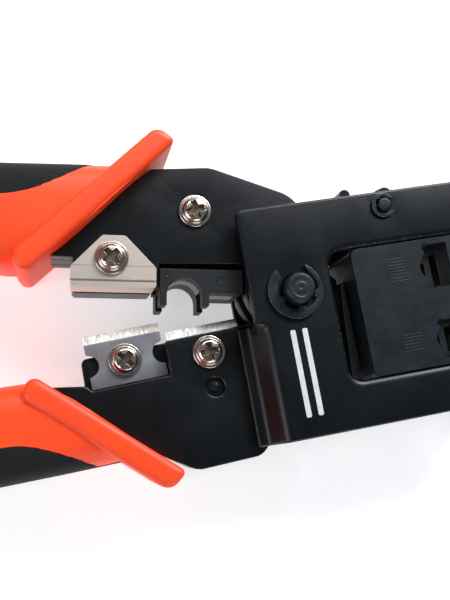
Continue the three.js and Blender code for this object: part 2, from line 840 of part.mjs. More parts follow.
// A screw through everything between seat and back, with its nut behind
function screwAndNut(prefix, x, y, seat, back, group) {
  add(`${prefix}_screw`, crossScrew(x, y, seat, back - nutHeight - 0.5), 'nickel', group);
  add(`${prefix}_nut`, hexNut(x, y, back - nutHeight, back - 0.1), 'nickel', group);
}

screwAndNut('saddle', saddleScrewX, saddleScrewY, holderHalf, -holderHalf, movingArm);
screwAndNut('arm', armScrewX, armScrewY, armHalf, -armHalf, movingArm);

// Fixed arm: two plates with the blades and a spacer between them
const innerEnd = 4;

function lowerPoint(along, behind, blend = 0) {
  const [x, y] = onCollar(along, behind);
  return [x + lowerShift, -y, blend];
}

const lowerTang = tang.map(([x, y, blend]) => [x + lowerShift, -y, blend]);

// Every outline of the fixed arm shares its lower side, its tang and its end under the head
function lowerOutline(topSide, shrink = 0) {
  return rounded([
    ...topSide,
    ...lowerTang,
    lowerPoint(17.3 - shrink, -gap),
    lowerPoint(22, -gap - 0.6, 1),
    [-33.5, headBottom - 1.6 + shrink, 2],
    [lipLeft, headBottom - 1.6 + shrink, 2],
    [lipLeft + 2, headBottom + 0.6 + shrink, 1],
    [innerEnd, headBottom + 0.6 + shrink, 1],
    [innerEnd, -30, 1],
    [-12.5, -14, 2],
    [-12.5, lowEdge - 0.2, 0.5],
  ]);
}

function lowerBores(rivetBore) {
  return [
    rod(stripScrewX, stripScrewY, boreRadius, -lowHalf - 1, lowHalf + 1, 20),
    rod(rivetX, rivetY, rivetBore, -lowHalf - 1, lowHalf + 1, 20),
  ];
}

const leftStep = [cutterRight + 0.3, recessFoot, 0.6];
const frontTop = [
  [stripRight, lowEdge, 0],
  [cutterRight + 0.3, lowEdge, 0.8],
  leftStep,
  [cutterLeft - 0.2, recessFoot, 0.4],
  [cutterLeft - 1.6, -12.6, 0.8],
  lowerPoint(-13, -gap, 0),
];
const rearTop = [
  [stripRight, lowEdge, 0],
  [cutterLeft - 1.4, lowEdge, 1.5],
  [cutterLeft - 1.6, -12.6, 0.8],
  lowerPoint(-13, -gap, 0),
];
add('lower_arm_front', cut(
  prism(lowerOutline(frontTop), bladeHalf + 0.1, lowHalf),
  ...lowerBores(rivetRadius + slip),
  rod(rivetX, rivetY, 2.6, lowHalf - 1.1, lowHalf + 1, 24),
), 'blackPlate', fixedArm);
add('lower_arm_rear', cut(
  prism(lowerOutline(rearTop), -lowHalf, -bladeHalf - 0.1),
  ...lowerBores(rivetRadius + slip),
  rod(cutterScrewX, cutterScrewY, boreRadius, -lowHalf - 1, lowHalf + 1, 20),
), 'blackPlate', fixedArm);

const stripFoot = -14.5;
add('lower_arm_spacer', cut(
  prism(lowerOutline([
    [stripRight + gap, lowEdge - 0.4, 0],
    [stripRight + gap, stripFoot - gap, 0],
    [cutterRight + gap, stripFoot - gap, 0],
    [cutterLeft - 0.2, stripFoot - gap, 0.4],
    [cutterLeft - 1.8, -13, 0.8],
    lowerPoint(-12.8, -gap, 0),
  ], 0.5), -bladeHalf + 0.05, bladeHalf - 0.05),
  rod(rivetX, rivetY, rivetRadius + slip, -lowHalf, lowHalf, 20),
), 'blackPlate', fixedArm);

add('arm_rivet', turned(rivetX, rivetY, [
  [0, -lowHalf - 0.9],
  [2.4, -lowHalf - 0.9],
  [2.4, -lowHalf - 0.1],
  [rivetRadius, -lowHalf - 0.1],
  [rivetRadius, lowHalf - 0.7],
  [rivetRadius - 0.4, lowHalf - 0.3],
  [0, lowHalf - 0.3],
], 20), 'darkPin', fixedArm);

// A blade with a ground bevel on the front along its upper edge
function bladeSolid(outline, edge, bevelFoot, bores) {
  const wedge = new THREE.Shape();
  wedge.moveTo(edge + 1, bladeHalf + 1);
  wedge.lineTo(bevelFoot, bladeHalf + 1);
  wedge.lineTo(bevelFoot, bladeHalf);
  wedge.lineTo(edge, -bladeHalf + 0.15);
  wedge.lineTo(edge + 1, -bladeHalf + 0.15);
  wedge.closePath();
  const length = 60;
  const geometry = new THREE.ExtrudeGeometry(wedge, { depth: length, bevelEnabled: false });
  geometry.rotateX(Math.PI / 2);
  geometry.rotateZ(Math.PI / 2);
  geometry.translate(-70 + length, 0, 0);
  return cut(prism(outline, -bladeHalf, bladeHalf), solidOf(geometry), ...bores);
}

const endNotch = 2.9;
add('cutter_blade', bladeSolid(rounded([
  [cutterLeft, cutterFoot],
  [cutterRight, cutterFoot],
  [cutterRight, cutterEdge],
  [cutterLeft, cutterEdge],
]), cutterEdge, cutterEdge - 2.3, [
  rod(cutterLeft, -7.6, endNotch, -lowHalf, lowHalf, 24),
  rod(cutterRight, -7.6, endNotch, -lowHalf, lowHalf, 24),
  rod(cutterScrewX, cutterScrewY, boreRadius, -lowHalf, lowHalf, 20),
]), 'blade', fixedArm);
add('strip_blade', bladeSolid(rounded([
  [stripLeft, stripFoot],
  [stripRight - 1.7, stripFoot],
  [stripRight, stripEdge - 2.6],
  [stripRight, stripEdge],
  [stripLeft, stripEdge],
]), stripEdge, stripEdge - 2.3, [
  rod(stripScrewX, stripScrewY, boreRadius, -lowHalf, lowHalf, 20),
]), 'blade', fixedArm);

screwAndNut('cutter', cutterScrewX, cutterScrewY, bladeHalf, -lowHalf, fixedArm);
screwAndNut('strip', stripScrewX, stripScrewY, lowHalf, -lowHalf, fixedArm);

// Grips: a collar across the arm and a long bowed body, with a soft back let into it
function softBlock(points, half, edge, curveSegments = 3) {
  const options = {
    depth: 2 * (half - edge),
    bevelThickness: edge,
    bevelSize: edge,
    bevelOffset: -edge,
    bevelSegments: 3,
    curveSegments,
  };
  const geometry = new THREE.ExtrudeGeometry(rounded(points), options);
  geometry.translate(0, 0, -(half - edge));
  return solidOf(geometry);
}

function gripBody(innerSide, collarFoot) {
  const body = softBlock([
    onCollar(-12, 2.5, 3),
    onCollar(14.9, 2.5, 7),
    [-70, 32.6, 10],
    [-100, 31.6, 12],
    [-126, 28.5, 8],
    [-140, 22, 4.8],
    [-140.5, 12, 4.8],
    [-126, 8.5, 8],
    [-100, 8.8, 12],
    ...innerSide,
  ], gripHalf, 2.4);
  const collar = softBlock([
    onCollar(collarFoot, 0, 2.6),
    onCollar(26, 0, 2.6),
    onCollar(25, collarThick, 2.6),
    onCollar(collarFoot + 0.4, collarThick, 2.6),
  ], collarHalf, 1.4);
  return join(body, collar);
}

const socket = prism(rounded(grown(tang, gap)), -armHalf - slip, armHalf + slip);

function backRegion(offset) {
  return prism(rounded([
    [-51.6 - offset, 40],
    [-51.6 - offset, 33.2 + offset],
    [-60.4, 26.8 + offset, 5],
    [-69.6, 21.9 + offset, 4.5],
    [-86, 18.6 + offset, 8],
    [-110, 17.6 + offset, 8],
    [-134, 18.4 + offset, 4],
    [-145, 22 + offset],
    [-145, 40],
  ].reverse()), -20, 20);
}

function addGrip(prefix, body, group, place) {
  add(`${prefix}_grip_body`, place(cut(body, socket, backRegion(0))), 'orangeGrip', group);
  add(`${prefix}_grip_back`, place(cut(body.intersect(backRegion(slip)), socket)), 'blackGrip', group);
}

const lobedSide = [
  [-83, 8, 4],
  [-75, 5.2, 4],
  [-66.5, 5.6, 3],
];
const plainSide = [
  [-80, 8.6, 6],
  [-65, 8.7, 3],
];
addGrip('upper', gripBody(lobedSide, -26), movingArm, (solid) => solid);
addGrip('lower', gripBody(plainSide, -18.4), fixedArm, (solid) => (
  solid.mirror([0, 1, 0]).translate([lowerShift, 0, 0])
));

export default tool;
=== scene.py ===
import bmesh
import bpy
import numpy as np
from mathutils import Matrix, Vector
from mathutils.geometry import delaunay_2d_cdt


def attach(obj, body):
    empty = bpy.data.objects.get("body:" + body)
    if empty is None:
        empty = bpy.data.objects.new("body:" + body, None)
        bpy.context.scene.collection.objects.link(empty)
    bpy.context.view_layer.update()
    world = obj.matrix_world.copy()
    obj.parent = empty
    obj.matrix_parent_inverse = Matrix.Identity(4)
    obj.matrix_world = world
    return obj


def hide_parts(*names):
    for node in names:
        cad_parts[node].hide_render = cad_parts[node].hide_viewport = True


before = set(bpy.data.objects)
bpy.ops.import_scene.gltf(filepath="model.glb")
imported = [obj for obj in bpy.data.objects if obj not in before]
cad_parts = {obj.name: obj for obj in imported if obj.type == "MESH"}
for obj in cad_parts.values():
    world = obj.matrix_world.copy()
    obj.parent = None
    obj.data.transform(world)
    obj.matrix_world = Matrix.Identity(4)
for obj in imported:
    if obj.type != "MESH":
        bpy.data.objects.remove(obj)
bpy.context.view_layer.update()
scene = bpy.context.scene
print("frame loaded:", len(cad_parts), "nodes")

# the tool lies on its rear face; pieces are drawn in mm from its middle plane
tool = {
    "mm": 0.001,
    "midHeight": 14.7,
    "upperTilt": -10.2,   # jaw line of the moving arm, degrees about the pivot
    "lowerTilt": 2.0,     # jaw line of the fixed arm
    "headHalf": 13.2,
    "headInner": 10.7,
    "armHalf": 7.7,
    "coreHalf": 2.8,
    "lowHalf": 4.3,
    "holderHalf": 9.2,
    "nutHeight": 2.7,
}


# camera, floor and light

camera = {
    "place": (-0.06350, -0.02701, 0.23586),
    "right": (0.966308, -0.181423, 0.182576),
    "up": (0.152673, 0.975091, 0.160895),
    "back": (-0.207218, -0.127600, 0.969937),
    "lens": 51.0,
}
cameraData = bpy.data.cameras.new("camera")
cameraData.lens = camera["lens"]
cameraData.sensor_width = 36.0
cameraData.clip_start = 0.01
cameraObject = bpy.data.objects.new("camera", cameraData)
scene.collection.objects.link(cameraObject)
axes = np.eye(4)
axes[:3, :4] = np.array([camera["right"], camera["up"], camera["back"], camera["place"]]).T
cameraObject.matrix_world = Matrix(axes.tolist())
scene.camera = cameraObject

light = {
    "dome": ("#eef4ff", 0.13),
    "boxes": [
        # name, place, aim, width, height, watts, tint
        ("keyBox", (0.36, 0.44, 0.38), (-0.01, 0.0, 0.0), 0.34, 0.34, 6.2, "#f3f7ff"),
        ("fillBox", (-0.55, -0.18, 0.38), (-0.02, 0.0, 0.0), 0.40, 0.40, 2.0, "#f3f7ff"),
        ("edgeBox", (-0.02, 0.42, 0.42), (-0.03, 0.0, 0.0), 0.30, 0.22, 0.9, "#ffffff"),
        ("backBox", (0.05, -0.60, 0.30), (0.0, 0.0, 0.0), 0.40, 0.22, 1.2, "#ffffff"),
    ],
}
scene.view_settings.view_transform = "Standard"


def hexColour(code):
    # sRGB hex to linear red, green, blue, alpha
    part = np.array([int(code[i:i + 2], 16) for i in (1, 3, 5)]) / 255
    linear = np.where(part <= 0.04045, part / 12.92, ((part + 0.055) / 1.055) ** 2.4)
    return (*linear.tolist(), 1.0)


def addNode(tree, kind, settings={}, links={}):
    # a node with its settings (a property or a socket's value) and its incoming links
    node = tree.nodes.new(kind)
    for key, value in settings.items():
        if isinstance(key, int) or key in node.inputs:
            node.inputs[key].default_value = value
        else:
            setattr(node, key, value)
    for key, source in links.items():
        tree.links.new(source, node.inputs[key])
    return node


for name, place, aim, width, height, watts, tint in light["boxes"]:
    data = bpy.data.lights.new(name, "AREA")
    data.shape = "RECTANGLE"
    data.size, data.size_y, data.energy = width, height, watts
    data.color = hexColour(tint)[:3]
    box = bpy.data.objects.new(name, data)
    scene.collection.objects.link(box)
    box.location = place
    box.rotation_euler = (Vector(place) - Vector(aim)).to_track_quat("Z", "Y").to_euler()
world = bpy.data.worlds.new("studio")
world.use_nodes = True
world.node_tree.nodes["Background"].inputs["Color"].default_value = hexColour(light["dome"][0])
world.node_tree.nodes["Background"].inputs["Strength"].default_value = light["dome"][1]
scene.world = world
print("camera and light set")


# finishes

def makeFinish(name, look, onEdge=False):
    # fine grain and broad patches are noise on object coordinates, drawn out along one
    # direction where the surface is brushed; the wear attribute is 1 along rounded edges, and
    # the edge version of a finish is for faces that are all edge
    material = bpy.data.materials.new(name)
    material.use_nodes = True
    tree = material.node_tree
    tree.nodes.clear()
    place = addNode(tree, "ShaderNodeTexCoord")
    turned = addNode(tree, "ShaderNodeMapping", {
        "Rotation": (0, 0, np.radians(look.get("turn", 0))),
        "Scale": look.get("stretch", (1, 1, 1)),
    }, {"Vector": place.outputs["Object"]})
    fine = addNode(tree, "ShaderNodeTexNoise", {
        "Scale": 1 / (look["grain"] * tool["mm"]), "Detail": look.get("detail", 3.0), "Roughness": 0.6,
    }, {"Vector": turned.outputs["Vector"]})
    broad = addNode(tree, "ShaderNodeTexNoise", {
        "Scale": 1 / (look["patch"] * tool["mm"]), "Detail": 4.0, "Roughness": 0.65,
    }, {"Vector": place.outputs["Object"]})
    shade = addNode(tree, "ShaderNodeMix", {
        "data_type": "RGBA", 6: hexColour(look["colour"]), 7: hexColour(look["second"]),
    })
    amount = addNode(tree, "ShaderNodeMapRange", {"From Min": 0.35, "From Max": 0.65}, {
        "Value": (fine if look.get("colourBy") == "grain" else broad).outputs["Fac"],
    })
    tree.links.new(amount.outputs["Result"], shade.inputs["Factor"])
    rough = addNode(tree, "ShaderNodeMapRange", {
        "From Min": 0.3, "From Max": 0.7,
        "To Min": look["roughness"][0], "To Max": look["roughness"][1],
    }, {"Value": (broad if look.get("roughBy") == "patch" else fine).outputs["Fac"]})
    bump = addNode(tree, "ShaderNodeBump", {
        "Strength": look["bump"], "Distance": look["grain"] * tool["mm"] * 0.5,
    }, {"Height": fine.outputs["Fac"]})
    colour, roughness = shade.outputs[2], rough.outputs["Result"]
    shader = addNode(tree, "ShaderNodeBsdfPrincipled", {
        "Metallic": look.get("metallic", 0.0),
    }, {"Base Color": colour, "Roughness": roughness, "Normal": bump.outputs["Normal"]})
    if "glow" in look:
        shader.inputs["Emission Color"].default_value = hexColour("#ffffff")
        shader.inputs["Emission Strength"].default_value = look["glow"]
    if "specular" in look:
        shader.inputs["Specular IOR Level"].default_value = look["specular"]
    if "ior" in look:
        shader.inputs["IOR"].default_value = look["ior"]
    if "worn" in look:
        chips = addNode(tree, "ShaderNodeTexNoise", {
            "Scale": 1 / (look["chip"] * tool["mm"]), "Detail": 5.0, "Roughness": 0.7,
        }, {"Vector": place.outputs["Object"]})
        both = chips.outputs["Fac"]
        if not onEdge:
            edge = addNode(tree, "ShaderNodeAttribute", {"attribute_name": "wear"})
            worn = addNode(tree, "ShaderNodeMath", {"operation": "MULTIPLY"}, {
                0: edge.outputs["Fac"], 1: both,
            })
            both = worn.outputs["Value"]
        reach = addNode(tree, "ShaderNodeMapRange", {
            "From Min": look["wearFrom"], "From Max": look["wearFrom"] + 0.12,
            "To Max": look["wearMost"],
        }, {"Value": both})
        bare = addNode(tree, "ShaderNodeMix", {"data_type": "RGBA", 7: hexColour(look["worn"])}, {
            "Factor": reach.outputs["Result"], 6: colour,
        })
        tree.links.new(bare.outputs[2], shader.inputs["Base Color"])
    addNode(tree, "ShaderNodeOutputMaterial", {}, {"Surface": shader.outputs["BSDF"]})
    return material


finishes = {
    # black electrophoretic lacquer on pressed steel: satin, faint orange peel, edges rubbed grey
    "lacquered_steel": dict(
        colour="#05090b", second="#090e11", roughness=(0.33, 0.39), grain=0.5, patch=14, bump=0.12,
        roughBy="patch", specular=0.35, worn="#6c7072", chip=0.9, wearFrom=0.52, wearMost=0.5,
    ),
    # black oxide on machined steel: blue-grey, slightly metallic, even satin
    "black_oxide_steel": dict(
        colour="#12181d", second="#182026", roughness=(0.4, 0.5), metallic=0.35, grain=0.6, patch=7,
        bump=0.1, roughBy="patch", worn="#7b8084", chip=0.8, wearFrom=0.55, wearMost=0.5,
    ),
    # phosphated spring steel for pins and clips: dark grey metal with fine rubbing marks
    "phosphated_steel": dict(
        colour="#2b3033", second="#3a3f42", roughness=(0.34, 0.55), metallic=0.85, grain=0.35,
        patch=3, bump=0.18, worn="#a0a3a5", chip=0.6, wearFrom=0.4, wearMost=0.8,
    ),
    # bright nickel plate on screws and nuts: warm mirror with slight haze
    "nickel_plate": dict(
        colour="#d6cdc3", second="#c3b9ad", roughness=(0.2, 0.26), metallic=1.0, grain=0.8,
        patch=2.5, bump=0.015,
    ),
    # duller plate with painted shade: coloured darker and browner down in the cross recess, where shade falls
    "painted_recess_shade": dict(
        colour="#5c5145", second="#877b6c", roughness=(0.4, 0.55), metallic=1.0, grain=0.4,
        patch=1.5, bump=0.1,
    ),
    # milled and nickel-plated steel: fine streaks along the cut
    "milled_nickel": dict(
        colour="#eadfd3", second="#dccfc1", roughness=(0.4, 0.5), metallic=1.0, grain=0.25, patch=6,
        bump=0.06, stretch=(0.05, 1, 1), turn=10.2, colourBy="grain",
    ),
    # hardened blade steel, surface ground: grey with a fine random lay
    "ground_blade_steel": dict(
        colour="#b4b4b8", second="#a3a3a8", roughness=(0.42, 0.52), metallic=1.0, grain=0.3,
        patch=5, bump=0.12, stretch=(1, 0.3, 1), turn=-2, colourBy="grain",
    ),
    # cutting bevel, ground across the edge: bright, with steep grinding lines
    "ground_bevel_steel": dict(
        colour="#c4c1bc", second="#a9a6a1", roughness=(0.34, 0.46), metallic=1.0, grain=0.5,
        patch=4, bump=0.2, stretch=(1, 0.06, 1), turn=-2, colourBy="grain",
    ),
    # bare tool steel with a film of oil, inside the head
    "oiled_steel": dict(
        colour="#6d6f70", second="#5a5c5e", roughness=(0.25, 0.42), metallic=1.0, grain=0.4,
        patch=4, bump=0.15, stretch=(1, 0.15, 1), colourBy="grain",
    ),
    # glass-filled nylon, moulded: black with a fine matt grain
    "moulded_nylon": dict(
        colour="#080c0e", second="#0d1214", roughness=(0.46, 0.6), grain=0.45, patch=5, bump=0.35,
        ior=1.53, specular=0.35,
    ),
    # orange polypropylene grip shell: soft satin skin, light spark-eroded grain
    "moulded_polypropylene": dict(
        colour="#ff4d18", second="#fb4512", roughness=(0.42, 0.54), grain=0.55, patch=14, bump=0.14,
        roughBy="patch", ior=1.49,
    ),
    # black TPR overmould: matt rubber with a coarser grain
    "rubber_overmould": dict(
        colour="#060809", second="#0a0d0f", roughness=(0.68, 0.84), grain=0.6, patch=8, bump=0.4,
        ior=1.52, specular=0.3,
    ),
    # white pad print
    "pad_print": dict(
        colour="#d9d8d8", second="#c9c8c8", roughness=(0.5, 0.62), grain=0.3, patch=2, bump=0.1,
    ),
    # white acrylic of a product table, lit from below so that shadows stay light
    "table_acrylic": dict(
        colour="#fbfbfb", second="#f8f8f8", roughness=(0.85, 0.95), grain=2.0, patch=60, bump=0.02,
        glow=0.5,
    ),
}
materials = {name: makeFinish(name, look) for name, look in finishes.items()}
# the carried-over pieces have a worn version of their finish on their rounded edges
edgeFinishes = ["lacquered_steel", "black_oxide_steel", "phosphated_steel", "nickel_plate", "milled_nickel",
                "oiled_steel", "moulded_nylon"]
materials.update({name + "_edge": makeFinish(name + "_edge", finishes[name], True) for name in edgeFinishes})
print("finishes made:", len(materials))


# shapes worked out with numpy

def unit(vectors):
    return vectors / np.maximum(np.linalg.norm(vectors, axis=-1, keepdims=True), 1e-12)


def arcPath(corners, perArc=9, step=None, hole=False):
    # closed outline of straight runs; a corner [x, y, blend] is an arc that starts blend before
    # it. On each arc the radius vector swings evenly from the first tangent point to the second.
    corner = np.array([c[:2] for c in corners], float)
    blend = np.array([c[2] if len(c) > 2 else 0.0 for c in corners])[:, None]
    back = unit(np.roll(corner, 1, 0) - corner)
    ahead = unit(np.roll(corner, -1, 0) - corner)
    half = np.arccos(np.clip((back * ahead).sum(1, keepdims=True), -1, 1)) / 2
    centre = corner + unit(back + ahead) * blend / np.cos(half)
    sweep = np.maximum(np.pi - 2 * half, 1e-9)[..., None]
    t = np.linspace(0, 1, perArc + 1)[None, :, None]
    first = (corner + back * blend - centre)[:, None]
    second = (corner + ahead * blend - centre)[:, None]
    swung = (np.sin((1 - t) * sweep) * first + np.sin(t * sweep) * second) / np.sin(sweep)
    keep = (blend > 0) | (t[..., 0] == 0)
    path = (centre[:, None] + swung)[keep]
    ring = np.roll(path, -1, 0)
    area = (path[:, 0] * ring[:, 1] - path[:, 1] * ring[:, 0]).sum()
    if (area < 0) != hole:
        path = path[::-1]
    return path if step is None else closer(path, step)


def closer(path, step):
    # the same closed outline with no run longer than step
    run = np.roll(path, -1, 0) - path
    parts = np.maximum(np.ceil(np.linalg.norm(run, axis=1) / step), 1).astype(int)
    start = np.repeat(np.cumsum(parts) - parts, parts)
    share = (np.arange(parts.sum()) - start) / np.repeat(parts, parts)
    return np.repeat(path, parts, 0) + share[:, None] * np.repeat(run, parts, 0)


def circlePath(x, y, radius, sides=48, hole=True):
    angle = np.linspace(0, 2 * np.pi, sides, endpoint=False) * (-1 if hole else 1)
    return np.stack([x + radius * np.cos(angle), y + radius * np.sin(angle)], 1)


def intoSheet(path):
    # step of each point to its left, into the material, lengthened so both sides move alike
    along = unit(path - np.roll(path, 1, 0))
    left = np.stack([-along[:, 1], along[:, 0]], 1)
    total = left + np.roll(left, -1, 0)
    return total * 2 / np.maximum((total ** 2).sum(1, keepdims=True), 0.3)


def insideLoops(points, loops):
    # even-odd rule: how many outline runs a ray towards +X crosses
    crossings = np.zeros(len(points), int)
    for loop in loops:
        a, b = loop, np.roll(loop, -1, 0)
        x, y = points[:, :1], points[:, 1:]
        straddles = (a[:, 1] > y) != (b[:, 1] > y)
        rise = np.where(b[:, 1] == a[:, 1], 1e-12, b[:, 1] - a[:, 1])
        crossings += (straddles & (x < (b[:, 0] - a[:, 0]) * (y - a[:, 1]) / rise + a[:, 0])).sum(1)
    return crossings % 2 == 1


def gridQuads(rows, columns, wrap=True):
    # quads of a grid of rows by columns, the columns closed into a ring
    r, c = np.meshgrid(np.arange(rows - 1), np.arange(columns if wrap else columns - 1), indexing="ij")
    n = (c + 1) % columns
    return np.stack([r * columns + c, r * columns + n, (r + 1) * columns + n, (r + 1) * columns + c],
                    -1).reshape(-1, 4)


def turnedBy(points, degrees):
    a = np.radians(degrees)
    out = np.array(points, float)
    out[:, 0], out[:, 1] = (points[:, 0] * np.cos(a) - points[:, 1] * np.sin(a),
                            points[:, 0] * np.sin(a) + points[:, 1] * np.cos(a))
    return out


def putInScene(name, points, quads, triangles, finish, body, nodes=(), tilt=0.0, flat=None, wear=None,
               crease=34, finishIndex=None):
    # points in mm from the middle plane become a mesh in the row frame
    placed = turnedBy(np.asarray(points, float), tilt)
    placed[:, 2] += tool["midHeight"]
    placed *= tool["mm"]
    quads = np.asarray(quads, int).reshape(-1, 4)
    triangles = np.asarray(triangles, int).reshape(-1, 3)
    loops = np.concatenate([quads.ravel(), triangles.ravel()])
    sizes = np.concatenate([np.full(len(quads), 4), np.full(len(triangles), 3)])
    mesh = bpy.data.meshes.new(name)
    mesh.vertices.add(len(placed))
    mesh.vertices.foreach_set("co", placed.ravel())
    mesh.loops.add(len(loops))
    mesh.loops.foreach_set("vertex_index", loops)
    mesh.polygons.add(len(sizes))
    mesh.polygons.foreach_set("loop_start", np.cumsum(sizes) - sizes)
    mesh.update(calc_edges=True)
    smooth = np.ones(len(sizes), bool) if flat is None else ~flat
    mesh.polygons.foreach_set("use_smooth", smooth)
    if wear is not None:
        mesh.attributes.new("wear", "FLOAT", "POINT").data.foreach_set("value", np.asarray(wear, float))
    finishNames = [finish] if isinstance(finish, str) else finish
    for each in finishNames:
        mesh.materials.append(materials[each])
    if finishIndex is not None:
        mesh.polygons.foreach_set("material_index", finishIndex)
    mesh.set_sharp_from_angle(angle=np.radians(crease))
    piece = bpy.data.objects.new(name, mesh)
    scene.collection.objects.link(piece)
    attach(piece, body)
    if nodes:
        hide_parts(*nodes)
    return piece


def rimRows(low, high, topRoll, lowRoll, steps=5):
    # rim of a sheet from its lower to its upper face as (inset, height, wear): a quarter of an
    # ellipse at each edge, reach across the face by reach down the side
    t = np.linspace(0, np.pi / 2, steps + 1)
    lower = np.stack([lowRoll[0] * (1 - np.sin(t)), low + lowRoll[1] * (1 - np.cos(t)), np.sin(2 * t)], 1)
    upper = np.stack([topRoll[0] * (1 - np.cos(t)), high - topRoll[1] * (1 - np.sin(t)), np.sin(2 * t)], 1)
    return np.vstack([lower, upper])


def sheetParts(loops, low, high, inner=None):
    # loops are (outline, top roll, low roll). The rim rows are carried along each outline, and the
    # two faces are filled between the innermost rows, with extra points inside where asked.
    points, wear, quads, top, bottom, rings = [], [], [], [], [], []
    count = 0
    for path, topRoll, lowRoll in loops:
        rows = rimRows(low, high, topRoll, lowRoll)
        step = intoSheet(path)
        ring = path[None] + rows[:, 0, None, None] * step[None]
        height = np.broadcast_to(rows[:, 1, None, None], (*ring.shape[:2], 1))
        points.append(np.concatenate([ring, height], 2).reshape(-1, 3))
        wear.append(np.repeat(rows[:, 2], len(path)))
        quads.append(gridQuads(len(rows), len(path)) + count)
        bottom.append(count + np.arange(len(path)))
        top.append(count + (len(rows) - 1) * len(path) + np.arange(len(path)))
        rings.append(ring[-1])
        count += len(rows) * len(path)
    flatPoints = np.concatenate(rings)
    sizes = np.array([len(r) for r in rings])
    starts = np.cumsum(sizes) - sizes
    links = np.concatenate([np.stack([s + np.arange(n), s + (np.arange(n) + 1) % n], 1)
                            for s, n in zip(starts, sizes)])
    if inner is not None:
        inner = inner[insideLoops(inner, rings)]
        flatPoints = np.concatenate([flatPoints, inner])
        for z, group in ((high, top), (low, bottom)):
            points.append(np.column_stack([inner, np.full(len(inner), z)]))
            wear.append(np.zeros(len(inner)))
            group.append(count + np.arange(len(inner)))
            count += len(inner)
    made = delaunay_2d_cdt(flatPoints.tolist(), links.tolist(), [], 0, 1e-6)
    source = np.array([ids[0] if ids else 0 for ids in made[3]])
    crossed = np.flatnonzero([not ids for ids in made[3]])
    if len(crossed):
        stray = np.array([made[0][k][:] for k in crossed])
        source[crossed] = np.linalg.norm(flatPoints[None] - stray[:, None], axis=2).argmin(1)
        print("outline crosses itself near", stray[:3].round(2).tolist())
    triangle = source[np.array(made[2])]
    middle = flatPoints[triangle].mean(1)
    triangle = triangle[insideLoops(middle, rings)]
    top, bottom = np.concatenate(top), np.concatenate(bottom)
    faces = np.concatenate([top[triangle], bottom[triangle][:, ::-1]])
    return np.concatenate(points), np.concatenate(quads), faces, np.concatenate(wear)


def sheetPiece(name, loops, low, high, finish, body, nodes=(), tilt=0.0, inner=None, bend=None, crease=34):
    points, quads, faces, wear = sheetParts(loops, low, high, inner)
    flat = np.concatenate([np.zeros(len(quads), bool), np.ones(len(faces), bool)])
    if bend is not None:
        before = points[faces].mean(1)
        points = bend(points)
        flat[len(quads):] = np.linalg.norm(points[faces].mean(1) - before, axis=1) < 1e-6
    return putInScene(name, points, quads, faces, finish, body, nodes, tilt, flat, wear, crease)


def turnedParts(profile, x, y, sides=72):
    # profile (radius, height) from axis to axis carried round an axis along Z; both poles close
    radius, height = profile[1:-1, 0], profile[1:-1, 1]
    angle = np.linspace(0, 2 * np.pi, sides, endpoint=False)
    ring = np.stack([x + radius[:, None] * np.cos(angle), y + radius[:, None] * np.sin(angle),
                     np.broadcast_to(height[:, None], (len(radius), sides))], -1).reshape(-1, 3)
    poles = np.array([[x, y, profile[0, 1]], [x, y, profile[-1, 1]]])
    n, side = len(ring), np.arange(sides)
    nextSide = (side + 1) % sides
    last = (len(radius) - 1) * sides
    fans = np.concatenate([np.stack([np.full(sides, n), nextSide, side], 1),
                           np.stack([np.full(sides, n + 1), last + side, last + nextSide], 1)])
    return np.concatenate([ring, poles]), gridQuads(len(radius), sides), fans


def softProfile(corners, perArc=5):
    # open profile from axis to axis with rounded corners
    path = arcPath(corners, perArc)
    first = np.argmin(np.abs(path - np.array(corners[0][:2])).sum(1))
    path = np.roll(path, -first, 0)
    if np.abs(path[-1] - np.array(corners[-1][:2])).sum() > 1e-6:
        path = np.roll(path[::-1], 1, 0)
    return path


def turnedPiece(name, corners, x, y, finish, body, nodes=(), tilt=0.0, sides=72):
    profile = softProfile(corners)
    points, quads, fans = turnedParts(profile, x, y, sides)
    return putInScene(name, points, quads, fans, finish, body, nodes, tilt)


def carriedOver(node, finish, width, body, segments=2):
    # a CAD node's own shape, merged, with its edges rounded
    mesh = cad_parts[node].data.copy()
    work = bmesh.new()
    work.from_mesh(mesh)
    bmesh.ops.remove_doubles(work, verts=work.verts, dist=1e-6)
    bmesh.ops.dissolve_limit(work, angle_limit=np.radians(0.5), verts=work.verts, edges=work.edges)
    work.to_mesh(mesh)
    work.free()
    if "custom_normal" in mesh.attributes:
        mesh.attributes.remove(mesh.attributes["custom_normal"])
    mesh.polygons.foreach_set("use_smooth", np.ones(len(mesh.polygons), bool))
    mesh.set_sharp_from_angle(angle=np.radians(34))
    mesh.materials.clear()
    mesh.materials.append(materials[finish])
    mesh.materials.append(materials[finish + "_edge"])
    mesh.name = node + "_finished"
    piece = bpy.data.objects.new(node + "_finished", mesh)
    scene.collection.objects.link(piece)
    if width:
        edge = piece.modifiers.new("edge", "BEVEL")
        edge.width = width * tool["mm"]
        edge.segments = segments
        edge.limit_method = "ANGLE"
        edge.angle_limit = np.radians(34)
        edge.use_clamp_overlap = True
        edge.harden_normals = True
        edge.material = 1
    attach(piece, body)
    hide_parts(node)
    return piece


# head plates

headPlate = {
    "left": -12.2, "right": 62.0, "top": 22.9, "bottom": -37.7,
    "lip": -16.0,              # free edge of the lowered lip
    "lipTop": -6.6,
    "bendStart": -8.0,         # where the sheet leaves the flat
    "bendAngle": 60.0,
    "firstBend": 1.6, "secondBend": 3.2,   # radii at the middle of the sheet
    "drop": 6.1,
    "fade": 3.5, "freeFade": 2.5,          # lengths over which the bend fades in
    "roll": (0.7, 0.7), "windowRoll": (1.7, 1.1),
}


def smoothStep(t):
    # 0 to 1 with level ends: 3t^2 - 2t^3
    t = np.clip(t, 0, 1)
    return t * t * (3 - 2 * t)


